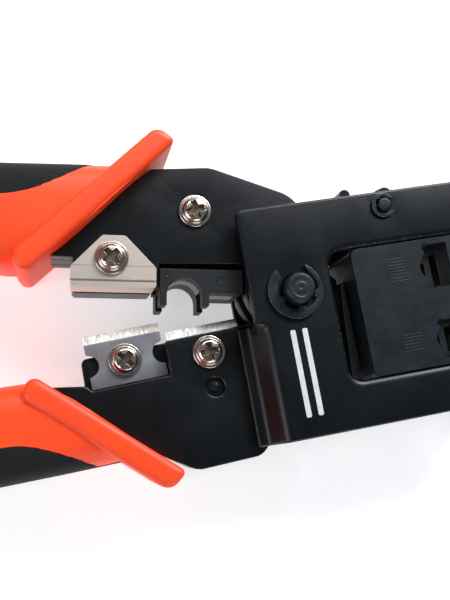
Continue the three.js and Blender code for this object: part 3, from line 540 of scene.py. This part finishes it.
def loweredLip(points, side):
    # the sheet left of the bend start follows a path of arc, ramp, arc and flat; a point keeps its
    # distance from the middle of the sheet
    h = headPlate
    angle = np.radians(h["bendAngle"])
    r1, r2 = h["firstBend"], h["secondBend"]
    ramp = (h["drop"] - (r1 + r2) * (1 - np.cos(angle))) / np.sin(angle)
    along = np.clip(h["bendStart"] - points[:, 0], 0, None) * (points[:, 1] < h["lipTop"])
    # near its top the bend fades into the flat face, but the free lip is down over its whole length
    below = smoothStep((h["lipTop"] - points[:, 1]) / h["fade"])
    free = smoothStep((along - h["bendStart"] + h["left"]) / h["freeFade"])
    share = (1 - (1 - below) * (1 - free))[:, None]
    a1 = np.clip(along / r1, 0, angle)
    straight = np.clip(along - r1 * angle, 0, ramp)
    a2 = np.clip((along - r1 * angle - ramp) / r2, 0, angle)
    rest = np.clip(along - (r1 + r2) * angle - ramp, 0, None)
    slope = a1 - a2
    moved = np.where(along > 0, 1.0, 0.0)
    x = h["bendStart"] - (r1 * np.sin(a1) + straight * np.cos(angle)
                          + r2 * (np.sin(angle) - np.sin(angle - a2)) + rest)
    z = -(r1 * (1 - np.cos(a1)) + straight * np.sin(angle)
          + r2 * (np.cos(angle - a2) - np.cos(angle)))
    middle = (tool["headHalf"] + tool["headInner"]) / 2
    off = side * points[:, 2] - middle
    out = points.copy()
    out[:, 0] = np.where(moved > 0, x - off * np.sin(slope), points[:, 0])
    out[:, 2] = np.where(moved > 0, side * (middle + z + off * np.cos(slope)), points[:, 2])
    return points + share * (out - points)


def headSheet(side):
    h = headPlate
    angle = np.radians(h["bendAngle"])
    r1, r2 = h["firstBend"], h["secondBend"]
    ramp = (h["drop"] - (r1 + r2) * (1 - np.cos(angle))) / np.sin(angle)
    across = (r1 + r2) * np.sin(angle) + ramp * np.cos(angle)
    flatLip = h["bendStart"] - (r1 + r2) * angle - ramp - (h["bendStart"] - across - h["lip"])
    outline = arcPath([
        [h["left"], h["top"], 1.8],
        [h["left"], h["lipTop"], 0.9],
        [flatLip, h["lipTop"], 0.9],
        [flatLip, h["bottom"], 0.9],
        [h["right"], h["bottom"], 7],
        [h["right"], h["top"], 7],
    ], step=0.45)
    window = arcPath([
        [9.8, -25.8, 3.6], [54, -25.8, 3.6], [54, 8.6, 3.6], [9.8, 8.6, 4.6],
    ], perArc=14, step=1.5, hole=True)
    bores = [circlePath(0, 0, 4.25), circlePath(27.9, 18.8, 1.9, 32)]
    rivets = [circlePath(57.2, 16.9, 2.55, 32), circlePath(57.2, -31.7, 2.55, 32)]
    down = np.concatenate([np.linspace(-1.2, h["fade"], 16), np.linspace(h["fade"] + 1, 30, 20)])
    x, y = np.meshgrid(np.linspace(flatLip + 0.8, h["bendStart"] + 1, 40), h["lipTop"] - down)
    inner = np.stack([x.ravel(), y.ravel()], 1)
    loops = [(outline, h["roll"], (0.3, 0.3)), (window, h["windowRoll"], (0.3, 0.3))]
    loops += [(bore, (0.25, 0.25), (0.2, 0.2)) for bore in bores + rivets]
    if side < 0:
        loops += [(circlePath(-4.5, -33.5, 1.45, 24), (0.15, 0.15), (0.15, 0.15)),
                  (circlePath(46, 17.3, 1.05, 24), (0.15, 0.15), (0.15, 0.15))]
    points, quads, faces, wear = sheetParts(loops, tool["headInner"], tool["headHalf"], inner)
    points[:, 2] *= side
    if side < 0:
        quads, faces = quads[:, ::-1], faces[:, ::-1]
    before = points[faces].mean(1)
    points = loweredLip(points, side)
    still = np.linalg.norm(points[faces].mean(1) - before, axis=1) < 1e-6
    flat = np.concatenate([np.zeros(len(quads), bool), still])
    name, node = (("front_plate", "front_side_plate"), ("rear_plate", "rear_side_plate"))[side < 0]
    return putInScene(name, points, quads, faces, "lacquered_steel", "frame", [node], 0, flat, wear)


for side in (1, -1):
    headSheet(side)
print("head plates made")


# arms

def alongCollar(along, behind, blend=0.0, lower=False):
    # a point of the slanting collar line: along it, and behind it into the grip
    a = np.radians(43.9)
    x = -49.97 + along * np.cos(a) - behind * np.sin(a)
    y = 20.37 + along * np.sin(a) + behind * np.cos(a)
    return [x - 6, -y, blend] if lower else [x, y, blend]


upperArm = {
    "roll": (0.35, 0.35),
    "outline": [
        alongCollar(-17.3, -0.3), alongCollar(-11.5, -0.3), [-66, 12, 3], [-96, 15.5, 2], [-96, 24, 2],
        [-56, 28.6, 3], alongCollar(11.5, -0.3), alongCollar(17.3, -0.3), [-21.6, 33.4, 1.6], [0.2, 26.8, 3],
        [9, 16, 6], [9, -9, 7.65], [-9, -9, 7.65], [-12.4, -0.6, 1.2], [-12.4, 7.6, 0.6], [-34.9, 7.0, 0.6],
        [-34.9, 0.6], [-35.6, 0.6], [-35.6, 4.4], [-56.8, 4.4], [-56.8, 8.1],
    ],
}
armInner = tool["coreHalf"] + 0.3
for name, low, high, node in (("upper_arm_plate_front", armInner, tool["armHalf"], "upper_arm_front"),
                              ("upper_arm_plate_rear", -tool["armHalf"], -armInner, "upper_arm_rear")):
    rolls = upperArm["roll"]
    sheetPiece(name, [
        (arcPath(upperArm["outline"]), rolls, rolls),
        (circlePath(0, 0, 4.15), (0.2, 0.2), (0.2, 0.2)),
        (circlePath(-25.7, 21.2, 2.25, 32), (0.2, 0.2), (0.2, 0.2)),
        (circlePath(-47.2, 7.8, 2.25, 32), (0.2, 0.2), (0.2, 0.2)),
    ], low, high, "lacquered_steel", "moving_arm", [node], tool["upperTilt"])

lowerArm = {
    "roll": (0.4, 0.4),
    "edge": -5.4,
    "tail": [
        alongCollar(-13, -0.3, 0, True), alongCollar(-11.5, -0.3, 0, True),
        [-72, -12, 3], [-102, -15.5, 2], [-102, -24, 2], [-62, -28.6, 3],
        alongCollar(11.5, -0.3, 0, True), alongCollar(17.3, -0.3, 0, True),
        alongCollar(22, -0.9, 1, True),
        [-33.5, -39.3, 2], [-16, -39.3, 2], [-14, -37.1, 1], [4, -37.1, 1], [4, -30, 1], [-12.5, -14, 2],
        [-12.5, -5.6, 0.5],
    ],
}
frontTop = [
    [-14.4, -5.4], [-35.0, -5.4, 0.8], [-35.0, -14.2, 0.6], [-55.45, -14.2, 0.4], [-56.85, -12.6, 0.8],
]
rearTop = [[-14.4, -5.4], [-56.65, -5.4, 1.5], [-56.85, -12.6, 0.8]]
for name, top, low, high, node in (
        ("fixed_arm_plate_front", frontTop, 0.6, tool["lowHalf"], "lower_arm_front"),
        ("fixed_arm_plate_rear", rearTop, -tool["lowHalf"], -0.6, "lower_arm_rear")):
    rolls = lowerArm["roll"]
    bores = [(circlePath(-24.3, -10.4, 2.25, 32), (0.2, 0.2), (0.2, 0.2))]
    if high > 0:
        bores.append((circlePath(-24.4, -19.6, 2.3, 40), (0.7, 0.8), (0.1, 0.1)))
    else:
        bores.append((circlePath(-24.4, -19.6, 1.55, 32), (0.2, 0.2), (0.2, 0.2)))
        bores.append((circlePath(-45.6, -7.8, 2.25, 32), (0.2, 0.2), (0.2, 0.2)))
    sheetPiece(name, [(arcPath(top + lowerArm["tail"]), rolls, rolls)] + bores,
               low, high, "lacquered_steel", "frame", [node], tool["lowerTilt"])
print("arm plates made")


# pins and clips

face = tool["headHalf"]
under = -face - 0.1
pinEnd = face + 4.4
turnedPiece("pivot_shaft", [
    [0, -tool["midHeight"]], [6.4, -tool["midHeight"], 0.5], [6.4, under, 0.2], [4, under],
    [4, pinEnd - 0.75, 0.3], [3.35, pinEnd, 0.25], [2.5, pinEnd, 0.1], [2.3, pinEnd - 0.16, 0.1],
    [1.5, pinEnd - 0.14, 0.1], [1.35, pinEnd - 0.04, 0.1], [0.5, pinEnd - 0.05, 0.1], [0, pinEnd - 0.3],
], 0, 0, "phosphated_steel", "frame", ["pivot_pin"])
turnedPiece("pawl_shaft", [
    [0, -face - 1.2], [3, -face - 1.2, 0.4], [3, under, 0.2], [1.75, under], [1.75, face + 1.6, 0.2],
    [1.35, face + 1.9, 0.2], [0, face + 1.9],
], 27.9, 18.8, "phosphated_steel", "frame", ["pawl_pin"], sides=48)
for name, y in (("nose_rivet_top", 16.9), ("nose_rivet_bottom", -31.7)):
    turnedPiece(name + "_finished", [
        [0, -face - 1.2], [3.0, -face - 1.2, 0.6], [3.84, -face - 0.5, 0.5], [3.84, under], [2.4, under],
        [2.4, -under], [3.84, -under], [3.84, face + 0.5, 0.5], [3.0, face + 1.2, 0.6], [0, face + 1.2],
    ], 57.2, y, "phosphated_steel", "frame", [name], sides=48)

clips = {
    # node: place, outer, inner ring, shaft, where it opens (degrees), half opening, low, high
    "pivot_clip": dict(
        place=(-0.6, -0.15), outer=7.3, ring=5.3, shaft=4.12, facing=92, half=40, low=13.35, high=14.3,
    ),
    "pawl_clip": dict(
        place=(0.0, 0.0), outer=3.3, ring=2.35, shaft=1.87, facing=0, half=40, low=13.35, high=14.0,
    ),
}


def clipOutline(c, x, y):
    # outer edge: a circle about the clip's centre. Inner edge: a larger ring about the shaft that
    # drops to the shaft in three short lugs, each a smooth step in angle.
    outer = np.linspace(c["facing"] + c["half"] * 0.8, c["facing"] + 360 - c["half"] * 0.8, 96)
    inner = np.linspace(c["facing"] + 360 - c["half"] * 1.12, c["facing"] + c["half"] * 1.12, 120)
    lugs = sum(1 / (1 + np.exp((np.abs(inner - c["facing"] - turn) - 9) / 1.4)) for turn in (112, 180, 248))
    radius = c["ring"] + (c["shaft"] - c["ring"]) * np.clip(lugs, 0, 1)
    a, b = np.radians(outer), np.radians(inner)
    edge = np.stack([
        x + c["place"][0] + c["outer"] * np.cos(a),
        y + c["place"][1] + c["outer"] * np.sin(a),
    ], 1)
    hollow = np.stack([x + radius * np.cos(b), y + radius * np.sin(b)], 1)
    return np.concatenate([edge, hollow])


for node, (x, y) in (("pivot_clip", (0, 0)), ("pawl_clip", (27.9, 18.8))):
    c = clips[node]
    sheetPiece(node + "_finished", [(clipOutline(c, x, y), (0.16, 0.16), (0.12, 0.12))], c["low"], c["high"],
               "phosphated_steel", "frame", [node])
print("pins and clips made")


# screws with a cross recess

screws = {
    # node: x, y, seat, level of the nut behind, turn of the cross, arm it belongs to
    "arm_screw": (-25.7, 21.2, tool["armHalf"], tool["armHalf"], 18, "upper"),
    "saddle_screw": (-47.2, 7.8, tool["holderHalf"], tool["holderHalf"], 42, "upper"),
    "cutter_screw": (-45.6, -7.8, 0.5, tool["lowHalf"], 40, "lower"),
    "strip_screw": (-24.3, -10.4, tool["lowHalf"], tool["lowHalf"], 2, "lower"),
}
screwHead = {
    "radius": 4.3, "flange": 0.85, "dome": 3.45, "rise": 2.55,
    "armLength": 2.3, "armWidth": 1.35, "fillet": 0.8, "depth": 1.3,
}


def crossRecess(x, y, s):
    # depth of the recess: two crossed bars, blended where they meet, with steep walls and a floor
    # that falls towards the middle
    ax, ay = np.abs(x), np.abs(y)
    barX = np.maximum(ax - s["armLength"], ay - s["armWidth"] / 2)
    barY = np.maximum(ay - s["armLength"], ax - s["armWidth"] / 2)
    blend = np.clip(0.5 + 0.5 * (barY - barX) / s["fillet"], 0, 1)
    away = barY * (1 - blend) + barX * blend - s["fillet"] * blend * (1 - blend)
    wall = np.clip((0.1 - away) / 0.24, 0, 1)
    wall = wall * wall * (3 - 2 * wall)
    fall = 1 - 0.28 * np.clip(np.hypot(x, y) / s["armLength"], 0, 1)
    return s["depth"] * wall * fall


for node, (x, y, seat, behind, turn, arm) in screws.items():
    s = screwHead
    end = -behind - tool["nutHeight"] - 0.5
    profile = softProfile([
        [0, end], [2.0, end, 0.3], [2.0, seat + 0.1], [s["radius"], seat + 0.1, 0.2],
        [s["radius"], seat + s["flange"], 0.25], [s["dome"], seat + s["flange"] + 0.06, 0.12],
        [s["dome"] - 0.12, seat + s["flange"] + 0.75, 0.35], [2.75, seat + s["rise"] - 0.3, 0.4],
        [0, seat + s["rise"]],
    ])
    dome = np.linspace(profile[-2], profile[-1], 46)[1:]
    profile = np.concatenate([profile[:-1], dome])
    points, quads, fans = turnedParts(profile, 0, 0, 128)
    a = np.radians(turn)
    u = points[:, 0] * np.cos(a) + points[:, 1] * np.sin(a)
    v = points[:, 1] * np.cos(a) - points[:, 0] * np.sin(a)
    onHead = points[:, 2] > seat + 1.2
    crown = 0.12 * (1 - (np.hypot(u, v) / 2.75) ** 2)
    sunk = onHead * crossRecess(u, v, s)
    points[:, 2] += onHead * crown - sunk
    # faces sunk deeper than a third of the recess take the painted-shade finish, darker and browner where
    # shade falls
    inRecess = np.concatenate([sunk[quads].mean(1), sunk[fans].mean(1)]) > 0.35 * s["depth"]
    points[:, 0] += x
    points[:, 1] += y
    body, tilt = (("moving_arm", tool["upperTilt"]) if arm == "upper" else ("frame", tool["lowerTilt"]))
    putInScene(node + "_finished", points, quads, fans, ["nickel_plate", "painted_recess_shade"], body, [node], tilt,
               crease=40, finishIndex=inRecess.astype(int))
print("screws made")


# blades

blades = {
    "cutter_blade": dict(
        outline=[[-55.25, -13.8, 0.2], [-35.3, -13.8, 0.2], [-35.3, 0.2], [-55.25, 0.2]],
        notches=((-55.25, -7.6), (-35.3, -7.6)), notch=2.9, bore=(-45.6, -7.8), edge=0.2,
    ),
    "strip_blade": dict(
        outline=[[-33.9, -14.5, 0.2], [-16.1, -14.5, 0.2], [-14.4, -5.35, 0.3], [-14.4, -2.75],
                 [-33.9, -2.75]],
        notches=(), notch=0, bore=(-24.3, -10.4), edge=-2.75,
    ),
}


def notchedOutline(b):
    # the blade's outline, with each end cut in by a half circle about its notch centre
    path = closer(arcPath(b["outline"]), 0.25)
    for centre in np.array(b["notches"], float).reshape(-1, 2):
        off = path - centre
        away = np.hypot(off[:, 0], off[:, 1])
        inward = np.sign(np.array([-45.0, -7.6]) - centre)[0]
        inside = away < b["notch"]
        reach = np.sqrt(np.clip(b["notch"] ** 2 - off[:, 1] ** 2, 0, None))
        path[:, 0] = np.where(inside, centre[0] + inward * reach, path[:, 0])
    return path


for node, b in blades.items():
    half, bevel = 0.5, 2.3
    path = notchedOutline(b)
    low, high = path.min(0), path.max(0)
    depths = np.array([0.35, 1.2, bevel - 0.02, bevel + 0.02, 2.9])
    x, y = np.meshgrid(np.linspace(low[0] + 0.3, high[0] - 0.3, 40), b["edge"] - depths)
    loops = [(path, (0.05, 0.05), (0.05, 0.05)), (circlePath(*b["bore"], 2.25, 32), (0.1, 0.1), (0.1, 0.1))]
    points, quads, faces, wear = sheetParts(loops, -half, half, np.stack([x.ravel(), y.ravel()], 1))
    # the front falls away evenly from the foot of the bevel to a thin edge at the back
    share = np.clip((points[:, 1] - (b["edge"] - bevel)) / bevel, 0, 1)
    ceiling = half - share * (2 * half - 0.12)
    points[:, 2] = np.minimum(points[:, 2], ceiling)
    both = [points[quads].mean(1), points[faces].mean(1)]
    centre = np.concatenate(both)
    onBevel = (centre[:, 1] > b["edge"] - bevel) & (centre[:, 2] > -half + 0.05)
    flat = np.ones(len(centre), bool)
    looks = ["ground_blade_steel", "ground_bevel_steel"]
    putInScene(node + "_finished", points, quads, faces, looks, "frame", [node], tool["lowerTilt"], flat,
               wear, finishIndex=onBevel.astype(int))
print("blades made")


# grips

grip = {
    "top": [[-37, 33.2], [-46, 32.9], [-58, 32.7], [-70, 32.4], [-85, 32.0], [-100, 31.4], [-115, 30.2],
            [-126, 28.4], [-134, 25.6]],
    "lobed": [[-56, 14], [-62, 8.6], [-68, 5.4], [-75, 5.0], [-83, 6.6], [-92, 8.4], [-104, 8.9],
              [-118, 9.0], [-133, 11.0]],
    "plain": [[-56, 14], [-62, 9.6], [-68, 8.7], [-75, 8.5], [-83, 8.5], [-92, 8.7], [-104, 8.9],
              [-118, 9.0], [-133, 11.0]],
    "half": [13.3, 13.3, 13.2, 13.0, 12.7, 12.6, 12.4, 12.0, 11.2],
    "power": 3.6,
    "backEdge": [[-48, 34.2], [-51.6, 32.6], [-60.4, 26.8], [-69.6, 21.9], [-80, 19.4], [-95, 18.0],
                 [-110, 17.6], [-124, 18.3], [-134, 21.6]],
    "endLength": 6.6,
    "collarHalf": 14.1,
}


def curveThrough(points, count):
    # a smooth curve through the points: on each span a cubic whose ends have the slope of the chord
    # between the neighbours
    p = np.asarray(points, float)
    padded = np.concatenate([2 * p[:1] - p[1:2], p, 2 * p[-1:] - p[-2:-1]])
    t = np.linspace(0, len(p) - 1, count)
    i = np.minimum(t.astype(int), len(p) - 2)
    f = (t - i)[:, None]
    a, b, c, d = padded[i], padded[i + 1], padded[i + 2], padded[i + 3]
    bend = (2 * a - 5 * b + 4 * c - d) * f ** 2
    twist = (3 * b - a - 3 * c + d) * f ** 3
    return 0.5 * (2 * b + (c - a) * f + bend + twist)


def gripSections(side, stations=120):
    # middle, half width vector and half thickness at each station, the last ones shrinking like a
    # quarter circle into the rounded end
    top = curveThrough(grip["top"], stations)
    foot = curveThrough(grip[side], stations)
    half = curveThrough(np.array(grip["half"])[:, None], stations)[:, 0]
    middle, across = (top + foot) / 2, (top - foot) / 2
    a = np.linspace(0, np.pi / 2, 16)[1:]
    heading = unit(middle[-1:] - middle[-4:-3])
    middle = np.concatenate([middle, middle[-1:] + heading * grip["endLength"] * np.sin(a)[:, None]])
    shrink = np.sqrt(np.clip(np.cos(a), 0, None))
    across = np.concatenate([across, across[-1:] * shrink[:, None]])
    half = np.concatenate([half, half[-1] * shrink])
    return middle, across, half


def gripSurface(middle, across, half, angle, lift):
    # super-ellipse about each middle: angle 0 is the back of the hand side, lift moves it outwards
    power = 2 / grip["power"]
    c, s = np.cos(angle), np.sin(angle)
    u = np.sign(c) * np.abs(c) ** power
    v = np.sign(s) * np.abs(s) ** power
    width = np.linalg.norm(across, axis=1, keepdims=True)
    grow = 1 + lift / np.maximum(width, 1)
    x = middle[:, :1] + across[:, :1] * u * grow
    y = middle[:, 1:] + across[:, 1:] * u * grow
    z = (half[:, None] + lift) * v
    return np.stack([x, y, z], -1)


def placeGrip(points, lower):
    out = points.reshape(-1, 3).copy()
    if lower:
        out[:, 0] -= 6
        out[:, 1] *= -1
    return out


def capFan(row, centre, columns, outward):
    # triangles from one added point to a row of the grid
    i = np.arange(columns)
    n = (i + 1) % columns
    ring = np.stack([np.full(columns, centre), row + n, row + i], 1)
    return ring if outward else ring[:, ::-1]


def gripPiece(name, side, node, body, tilt, lower):
    middle, across, half = gripSections(side)
    columns = 96
    angle = np.linspace(0, 2 * np.pi, columns, endpoint=False)[None]
    grid = gripSurface(middle, across, half, angle, 0.0)[:-1]
    rows = len(grid)
    points = placeGrip(grid, lower)
    poles = placeGrip(np.array([[*middle[0], 0], [*middle[-1], 0]], float), lower)
    points = np.concatenate([points, poles])
    quads = gridQuads(rows, columns)
    fans = np.concatenate([capFan(0, rows * columns, columns, True),
                           capFan((rows - 1) * columns, rows * columns + 1, columns, False)])
    if lower:
        quads, fans = quads[:, ::-1], fans[:, ::-1]
    collarPoints, collarQuads, collarFaces = collarParts(side, lower)
    start = len(points)
    points = np.concatenate([points, collarPoints])
    quads = np.concatenate([quads, collarQuads + start])
    flat = np.concatenate([np.zeros(len(quads) + len(fans), bool), np.ones(len(collarFaces), bool)])
    fans = np.concatenate([fans, collarFaces + start])
    return putInScene(name, points, quads, fans, "moulded_polypropylene", body, [node], tilt, flat, crease=50)


def collarParts(side, lower):
    # the raised band across the arm, a block with generous rounds on every edge
    foot = -26 if side == "lobed" else -18.4
    path = arcPath([alongCollar(foot, 0, 2.6), alongCollar(26, 0, 1.6), alongCollar(25, 6.2, 2.8),
                    alongCollar(foot + 0.4, 6.2, 2.8)], perArc=12)
    half = grip["collarHalf"]
    points, quads, faces = sheetParts([(path, (1.8, 1.5), (1.8, 1.5))], -half, half)[:3]
    points = placeGrip(points, lower)
    if lower:
        quads, faces = quads[:, ::-1], faces[:, ::-1]
    return points, quads, faces


def backPiece(name, side, node, body, tilt, lower):
    # rubber back: the part of the shell above the back edge, a little proud, thinning into the
    # shell at its border and closed by a second skin inside
    middle, across, half = gripSections(side, 120)
    middle, across, half = middle[:124], across[:124], half[:124]
    edge = curveThrough(grip["backEdge"], 200)
    span = np.einsum("ij,ij->i", across, across)
    # height of the back edge in each section, from -1 at the palm side to 1 at the back
    reach = []
    for m, c, s in zip(middle, across, span):
        offset = edge - m
        sideways = offset[:, 0] * c[1] - offset[:, 1] * c[0]
        k = np.argmin(np.abs(sideways))
        reach.append(np.dot(offset[k], c) / s)
    reach = np.clip(np.array(reach), -0.9, 0.9995)
    ends = np.linspace(0, 1, len(reach))
    reach = np.maximum(reach, 1 - 4 * np.sqrt(np.clip(1 - ends, 0, 1)))
    limit = np.arccos(np.clip(reach, 0, 1) ** (grip["power"] / 2))[:, None]
    keep = np.flatnonzero(limit[:, 0] > 0.06)
    middle, across, half, limit = middle[keep], across[keep], half[keep], limit[keep]
    u = np.linspace(-1, 1, 41)[None]
    proud = 0.32 * (1 - np.abs(u) ** 10) - 0.12
    outer = gripSurface(middle, across, half, u * limit, proud)
    inner = gripSurface(middle, across, half, u[:, ::-1] * limit, -1.6 + 0 * u)
    grid = np.concatenate([outer, inner], 1)
    rows, columns = grid.shape[:2]
    poles = np.stack([grid[0].mean(0), grid[-1].mean(0)])
    points = placeGrip(np.concatenate([grid.reshape(-1, 3), poles]), lower)
    quads = gridQuads(rows, columns)
    fans = np.concatenate([capFan(0, rows * columns, columns, True),
                           capFan((rows - 1) * columns, rows * columns + 1, columns, False)])
    if lower:
        quads, fans = quads[:, ::-1], fans[:, ::-1]
    return putInScene(name, points, quads, fans, "rubber_overmould", body, [node], tilt, crease=50)


for name, side, part, body, tilt, lower in (
        ("upper_grip", "lobed", "upper_grip", "moving_arm", tool["upperTilt"], False),
        ("lower_grip", "plain", "lower_grip", "frame", tool["lowerTilt"], True)):
    gripPiece(name + "_shell", side, part + "_body", body, tilt, lower)
    backPiece(name + "_rubber", side, part + "_back", body, tilt, lower)
print("grips made")


# pieces that keep their CAD shape, with rounded edges

carried = [
    # node, finish, edge in mm, body
    ("die_block", "black_oxide_steel", 0.55, "die"),
    ("cable_guide", "moulded_nylon", 0.18, "moving_arm"),
    ("anvil_plate", "oiled_steel", 0.12, "moving_arm"),
    ("cutting_saddle", "milled_nickel", 0.2, "moving_arm"),
    ("backing_bar", "lacquered_steel", 0.3, "moving_arm"),
    ("cam_lever", "lacquered_steel", 0.25, "moving_arm"),
    ("cam_shoe", "oiled_steel", 0.4, "moving_arm"),
    ("ratchet_sector", "oiled_steel", 0.1, "moving_arm"),
    ("saddle_nut", "nickel_plate", 0.25, "moving_arm"),
    ("arm_nut", "nickel_plate", 0.25, "moving_arm"),
    ("cutter_nut", "nickel_plate", 0.25, "frame"),
    ("strip_nut", "nickel_plate", 0.25, "frame"),
    ("pivot_washer", "oiled_steel", 0.15, "frame"),
    ("return_spring_post", "phosphated_steel", 0.2, "frame"),
    ("pawl_spring_post", "phosphated_steel", 0.15, "frame"),
    ("punch_carrier", "black_oxide_steel", 0.3, "frame"),
    ("contact_punch_wide", "oiled_steel", 0.06, "frame"),
    ("contact_punch_narrow", "oiled_steel", 0.06, "frame"),
    ("strain_punch_wide", "oiled_steel", 0.12, "frame"),
    ("strain_punch_narrow", "oiled_steel", 0.12, "frame"),
    ("lower_arm_spacer", "lacquered_steel", 0.0, "frame"),
    ("pawl", "oiled_steel", 0.15, "pawl_unit"),
    ("release_lever", "lacquered_steel", 0.4, "pawl_unit"),
    ("return_spring", "oiled_steel", 0.0, "frame"),
    ("pawl_spring", "oiled_steel", 0.0, "frame"),
]
for node, finish, width, body in carried:
    piece = carriedOver(node, finish, width, body)
    if node.endswith("_spring"):
        smoother = piece.modifiers.new("round_wire", "SUBSURF")
        smoother.levels = smoother.render_levels = 2
print("carried pieces finished:", len(carried))


# small marks and mouldings

dimple = {"place": (-24.4, -19.6), "radius": 2.28, "knob": 1.05, "floor": 1.1}
low = tool["lowHalf"]
turnedPiece("dimple_rivet", [
    [0, -low - 0.9], [2.4, -low - 0.9, 0.3], [2.4, -low - 0.1, 0.1], [1.4, -low - 0.1], [1.4, low - 2],
    [dimple["radius"], low - 2], [dimple["radius"], low - dimple["floor"], 0.1],
    [dimple["knob"] + 0.1, low - dimple["floor"] + 0.05, 0.15], [dimple["knob"], low - 0.45, 0.25],
    [0, low - 0.3],
], *dimple["place"], "lacquered_steel", "frame", ["arm_rivet"], tool["lowerTilt"], sides=48)

# ejector marks: round, slightly raised pads left by the mould on the guide's front
guideFront = 8.2
for place, x, y, radius in (("left", -32.7, 4.2, 1.0), ("right", -18.9, 3.1, 1.25)):
    turnedPiece("ejector_mark_" + place, [
        [0, guideFront - 0.3], [radius, guideFront - 0.3], [radius, guideFront + 0.12, 0.05],
        [radius - 0.22, guideFront + 0.12, 0.05], [radius - 0.32, guideFront + 0.02, 0.05],
        [0, guideFront + 0.02],
    ], x, y, "moulded_nylon", "moving_arm", (), tool["upperTilt"], sides=40)


def flatBars(name, bars, level, height, finish, body):
    # thin bars with rounded ends, all of one piece; a bar is (left, right, bottom, top)
    pieces = []
    for left, right, bottom, top in bars:
        end = min(right - left, top - bottom) * 0.3
        corners = [[left, bottom, end], [right, bottom, end], [right, top, end], [left, top, end]]
        path = arcPath(corners, perArc=5)
        pieces.append(sheetParts([(path, (height, height * 0.5), (0, 0))], level, level + height))
    starts = np.cumsum([0] + [len(part[0]) for part in pieces[:-1]])
    points = np.concatenate([part[0] for part in pieces])
    quads = np.concatenate([part[1] + start for part, start in zip(pieces, starts)])
    faces = np.concatenate([part[2] + start for part, start in zip(pieces, starts)])
    return putInScene(name, points, quads, faces, finish, body)


# plain printed bars on the front plate
printed = {"x": (-3.9, -2.5, -0.7, 0.7), "y": (-32.4, -10.0)}
a, b, c, d = printed["x"]
flatBars("printed_bars", [(a, b, *printed["y"]), (c, d, *printed["y"])], tool["headHalf"] - 0.02, 0.05,
         "pad_print", "frame")

# one tick for each contact of the socket beside it
ticks = {"pitch": 0.86, "width": 0.42, "length": 5.2, "left": 25.8}
for name, y, count in (("wide", 1.1, 8), ("narrow", -18.4, 6)):
    centre = y + (np.arange(count) - (count - 1) / 2) * ticks["pitch"]
    bars = [(ticks["left"], ticks["left"] + ticks["length"], at - ticks["width"] / 2, at + ticks["width"] / 2)
            for at in centre.tolist()]
    flatBars("contact_ticks_" + name, bars, tool["headHalf"] - 0.32, 0.06, "phosphated_steel", "die")
print("marks made")


# floor

floor = {"half": 1.6, "drop": 0.0002}
across = np.linspace(-floor["half"], floor["half"], 9)
x, y = np.meshgrid(across, across)
floorMesh = bpy.data.meshes.new("floor")
floorMesh.from_pydata(np.stack([x.ravel(), y.ravel(), np.full(x.size, -floor["drop"])], 1).tolist(), [],
                      gridQuads(9, 9, wrap=False).tolist())
floorMesh.materials.append(materials["table_acrylic"])
floorObject = bpy.data.objects.new("floor", floorMesh)
scene.collection.objects.link(floorObject)
